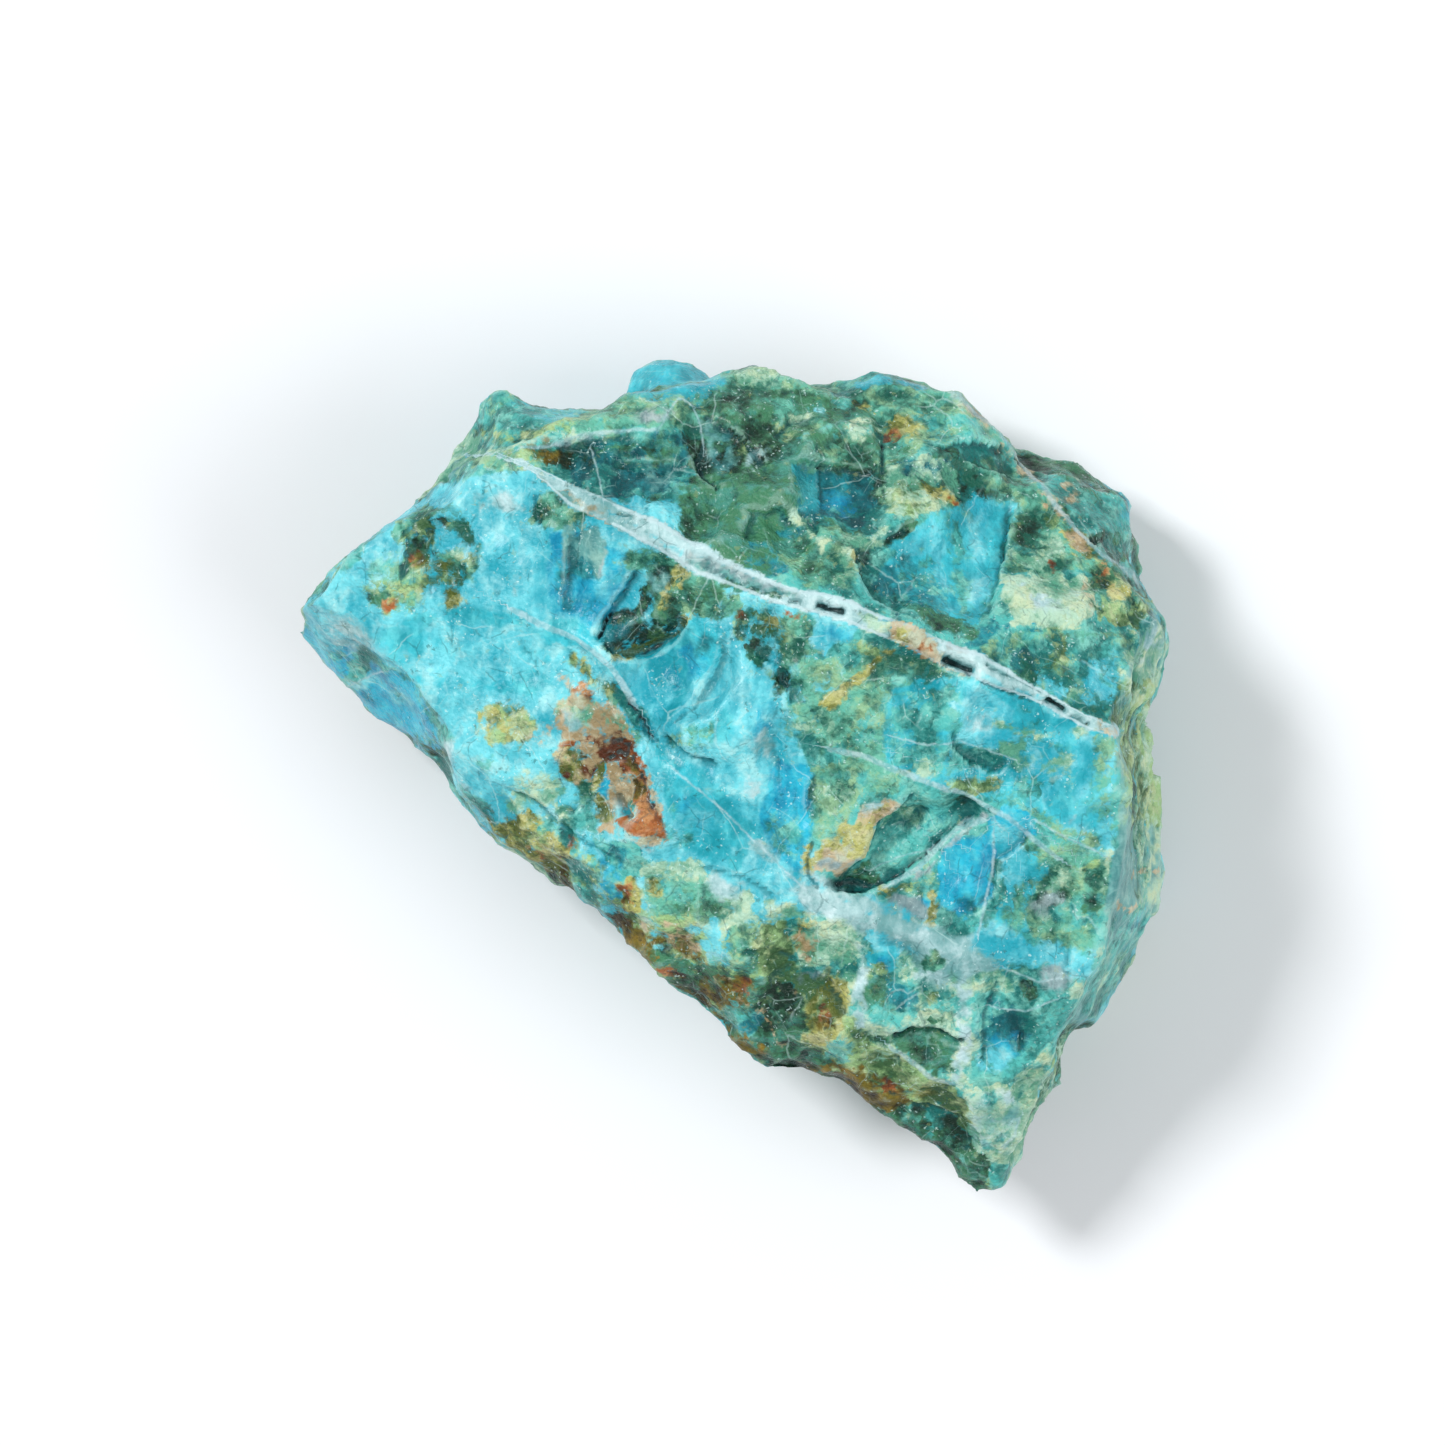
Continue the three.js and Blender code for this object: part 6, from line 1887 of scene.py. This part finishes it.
            # 4 x lay x (1 - lay) is 1 in the middle of a border, and 0 where a mineral is alone.
            on_border = bench.reckon("MULTIPLY", bench.reckon("MULTIPLY_ADD", lay, -4.0, 4.0), lay)
            jitter = (jitters if rough else calm_jitters)[number % 2]
            share = bench.reckon("MULTIPLY_ADD", on_border, jitter, lay)
            colour = bench.mix(bench.ramp(share, *self.border), colour, own)
        return colour

    def bent(self, bench: Bench, place: Socket, haze: Haze) -> Socket:
        """Bends the places.

        Args:
            bench: The material's nodes.
            place: Straight places.
            haze: What moves them.

        Returns:
            Bent places.
        """
        moved = bench.add("ShaderNodeVectorMath", operation="MULTIPLY_ADD")
        moved.inputs[1].default_value = (haze.reach,) * 3
        bench.feed(moved.inputs[0], bench.noise(place, haze, "Color"))
        bench.feed(moved.inputs[2], place)
        return moved.outputs[0]

    def wisps_and_edge_shading(self, bench: Bench, place: Socket, colour: Socket) -> Socket:
        """Draws pale wisps and dark seams over the minerals, then painted light and shade: a pale tint on
        proud edges, part wear and part painted highlight, and painted shade in hollows and pits.

        Args:
            bench: The material's nodes.
            place: Where the noise is read.
            colour: Colour under them.

        Returns:
            The new colour.
        """
        for size, tint in self.wisps:
            line = bench.grains(place, size, "DISTANCE_TO_EDGE").outputs["Distance"]
            broken = bench.ramp(bench.noise(place, Haze(size * self.gap_size)), *self.wisp_gaps)
            colour = bench.tinted(colour, line, tint, broken)
        # Painted highlight on proud edges, part wear, and painted shade in hollows and pits.
        for tint in self.edges:
            colour = bench.tinted(colour, bench.stored("edge"), tint)
        return colour

    def glitter(self, bench: Bench, place: Socket, colour: Socket) -> Socket:
        """Scatters painted glints as small pale specks, and small ochre and dark grains.

        Args:
            bench: The material's nodes.
            place: Where the grains are read.
            colour: Colour under them.

        Returns:
            The colour with them.
        """
        crowd = bench.noise(place, self.crowd)
        ragged = bench.sway(place, self.speck_fray)
        for size, tint in self.specks:
            grain = bench.grains(place, size)
            chance = bench.split(grain.outputs["Color"])[0]
            chosen = bench.ramp(bench.blend(self.speck_tone, bench.stored("specks"), chance, crowd),
                                *self.speck_pick)
            from_middle = bench.reckon("ADD", grain.outputs["Distance"], ragged)
            colour = bench.tinted(colour, from_middle, tint, chosen)
        return colour

    def veins(self, bench: Bench, place: Socket, colour: Socket) -> Socket:
        """Draws the thin veins and the crest vein's pale rims.

        Args:
            bench: The material's nodes.
            place: Where the noise is read.
            colour: Colour under the veins.

        Returns:
            The colour with the veins.
        """
        cloud = bench.ramp(bench.noise(place, self.vein_cloud), *self.vein_span)
        pale = bench.mix(cloud, self.vein_dark, RIM_COLOUR)
        wander = bench.sway(place, self.wander)
        thin_gap = bench.reckon("ABSOLUTE", bench.reckon("ADD", bench.stored("thin_gap"), wander))
        outside = bench.reckon("SUBTRACT", thin_gap, bench.stored("thin_half"))
        thin = bench.reckon("MULTIPLY", bench.ramp(outside, *self.thin_rim), self.thin_strength)
        colour = bench.mix(thin, colour, pale)
        gap = bench.reckon("ADD", bench.reckon("ABSOLUTE", bench.stored("crest_gap")), wander)
        half_widths = bench.reckon("DIVIDE", gap, bench.stored("crest_half"))
        from_rim = bench.reckon("ABSOLUTE", bench.reckon("SUBTRACT", half_widths, self.crest_share))
        unstained = bench.reckon("SUBTRACT", 1.0, bench.stored("lay_peach"))
        return bench.tinted(colour, from_rim, self.crest_rim, unstained)

    def build(self) -> bpy.types.Material:
        """Builds the material.

        Returns:
            The material.
        """
        material = bpy.data.materials.new("rough_opal_finish")
        bench = Bench(material)
        scale = bench.add("ShaderNodeVectorMath", operation="SCALE")
        bench.feed(scale.inputs[0], bench.add("ShaderNodeTexCoord").outputs["Object"])
        scale.inputs["Scale"].default_value = 1 / MM
        place = scale.outputs[0]
        bent = self.bent(bench, place, self.grain_bend)
        colour = self.minerals(bench, bent)
        colour = self.wisps_and_edge_shading(bench, self.bent(bench, place, self.wisp_bend), colour)
        colour = self.veins(bench, place, colour)
        colour = self.glitter(bench, bent, colour)
        roughness = bench.reckon("ADD", bench.stored("roughness"), bench.sway(place, self.dullness))
        bump = bench.add("ShaderNodeBump")
        bump.inputs["Distance"].default_value = self.bump_metres
        grains = bench.grains(place, self.bump_grain).outputs["Distance"]
        soft = bench.noise(place, self.bump_haze)
        height = bench.reckon("MULTIPLY_ADD", grains, -self.bump_grain_depth, soft)
        bench.feed(bump.inputs["Height"], bench.reckon("MULTIPLY", height, bench.stored("relief")))
        bench.shade({
            "Base Color": colour, "Roughness": roughness, "Specular IOR Level": self.specular,
            "IOR": self.refraction, "Coat Weight": self.sheen, "Coat Roughness": self.sheen_roughness,
            "Normal": bump.outputs["Normal"],
        })
        return material


@dataclass
class Opal:
    """The whole stone: skin, minerals, relief and finish."""

    skin: StoneSkin = field(default_factory=StoneSkin)
    relief: BrokenGrain = field(default_factory=BrokenGrain)
    finish: OpalFinish = field(default_factory=OpalFinish)
    grain: Grain = field(default_factory=Grain)

    def build(self, solid: bpy.types.Object) -> bpy.types.Object:
        """Builds and dresses the stone.

        Args:
            solid: The stone's solid.

        Returns:
            The finished piece.
        """
        piece = self.skin.build(solid)
        surface = Surface(piece.data)
        minerals = MineralMap(surface, self.grain)
        minerals.lay_all()
        self.relief.cut(surface, minerals)
        minerals.store()
        piece.data.materials.clear()
        piece.data.materials.append(self.finish.build())
        piece.data.polygons.foreach_set("use_smooth", [True] * len(piece.data.polygons))
        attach(piece, "root")
        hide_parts(NODE)
        faces = sum(len(face.vertices) - 2 for face in piece.data.polygons)
        LOG.info("opal_surface: %d vertices, %d triangles", surface.count, faces)
        return piece


@dataclass(frozen=True)
class Lamp:
    """One soft lamp that faces the stone: place and width in metres, power in watts."""

    name: str
    place: Place
    size: float
    power: float

    def hang(self) -> None:
        """Hangs the lamp."""
        light = bpy.data.lights.new(self.name, "AREA")
        light.size, light.energy = self.size, self.power
        holder = placed(self.name, light)
        holder.location = self.place
        holder.rotation_euler = (-Vector(self.place)).to_track_quat("-Z", "Y").to_euler()


@dataclass
class Studio:
    """The pale floor, the soft lamps and the camera above the stone."""

    # The camera's place, focal length and sensor in millimetres, and the nearest it sees in metres.
    camera_place: Place = EYE
    lens: float = 171.5
    sensor: float = 36.0
    nearest: float = 0.01
    # The floor's half width in metres, and its finish.
    floor_half: float = 1.6
    floor_colour: Colour = (0.80, 0.82, 0.85)
    floor_roughness: float = 0.75
    # The lamps, and the brightness and colour of the surroundings.
    lamps: tuple[Lamp, ...] = (
        Lamp("key_lamp", (-0.46, 0.30, 0.70), 0.20, 5.6),
        Lamp("fill_lamp", (0.63, -0.2, 0.6), 0.6, 3.9),
    )
    sky: float = 0.46
    sky_colour: tuple[float, float, float, float] = (1.0, 1.0, 1.0, 1.0)

    def floor(self) -> None:
        """Lays the floor under the stone."""
        mesh = bpy.data.meshes.new("studio_floor")
        half = self.floor_half
        corners = [(-half, -half, 0), (half, -half, 0), (half, half, 0), (-half, half, 0)]
        mesh.from_pydata(corners, [], [(0, 1, 2, 3)])
        plane = placed("studio_floor", mesh)
        material = bpy.data.materials.new("pale_floor")
        Bench(material).shade({"Base Color": (*self.floor_colour, 1.0), "Roughness": self.floor_roughness})
        mesh.materials.append(material)

    def build(self) -> None:
        """Sets up the studio."""
        self.floor()
        for lamp in self.lamps:
            lamp.hang()
        world = bpy.data.worlds.new("studio_world")
        world.use_nodes = True
        background = world.node_tree.nodes["Background"]
        background.inputs["Color"].default_value = self.sky_colour
        background.inputs["Strength"].default_value = self.sky
        bpy.context.scene.world = world
        camera = bpy.data.cameras.new("camera")
        camera.lens, camera.sensor_width, camera.clip_start = self.lens, self.sensor, self.nearest
        holder = placed("camera", camera)
        holder.location = [value * MM for value in self.camera_place]
        bpy.context.scene.camera = holder
        bpy.context.scene.view_settings.view_transform = "Standard"


def main() -> None:
    """Builds the stone and its studio."""
    logging.basicConfig(level=logging.INFO, format="%(name)s: %(message)s")
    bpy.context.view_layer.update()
    Opal().build(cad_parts[NODE])
    Studio().build()
    LOG.info("sizes written")


if __name__ == "__main__":
    main()
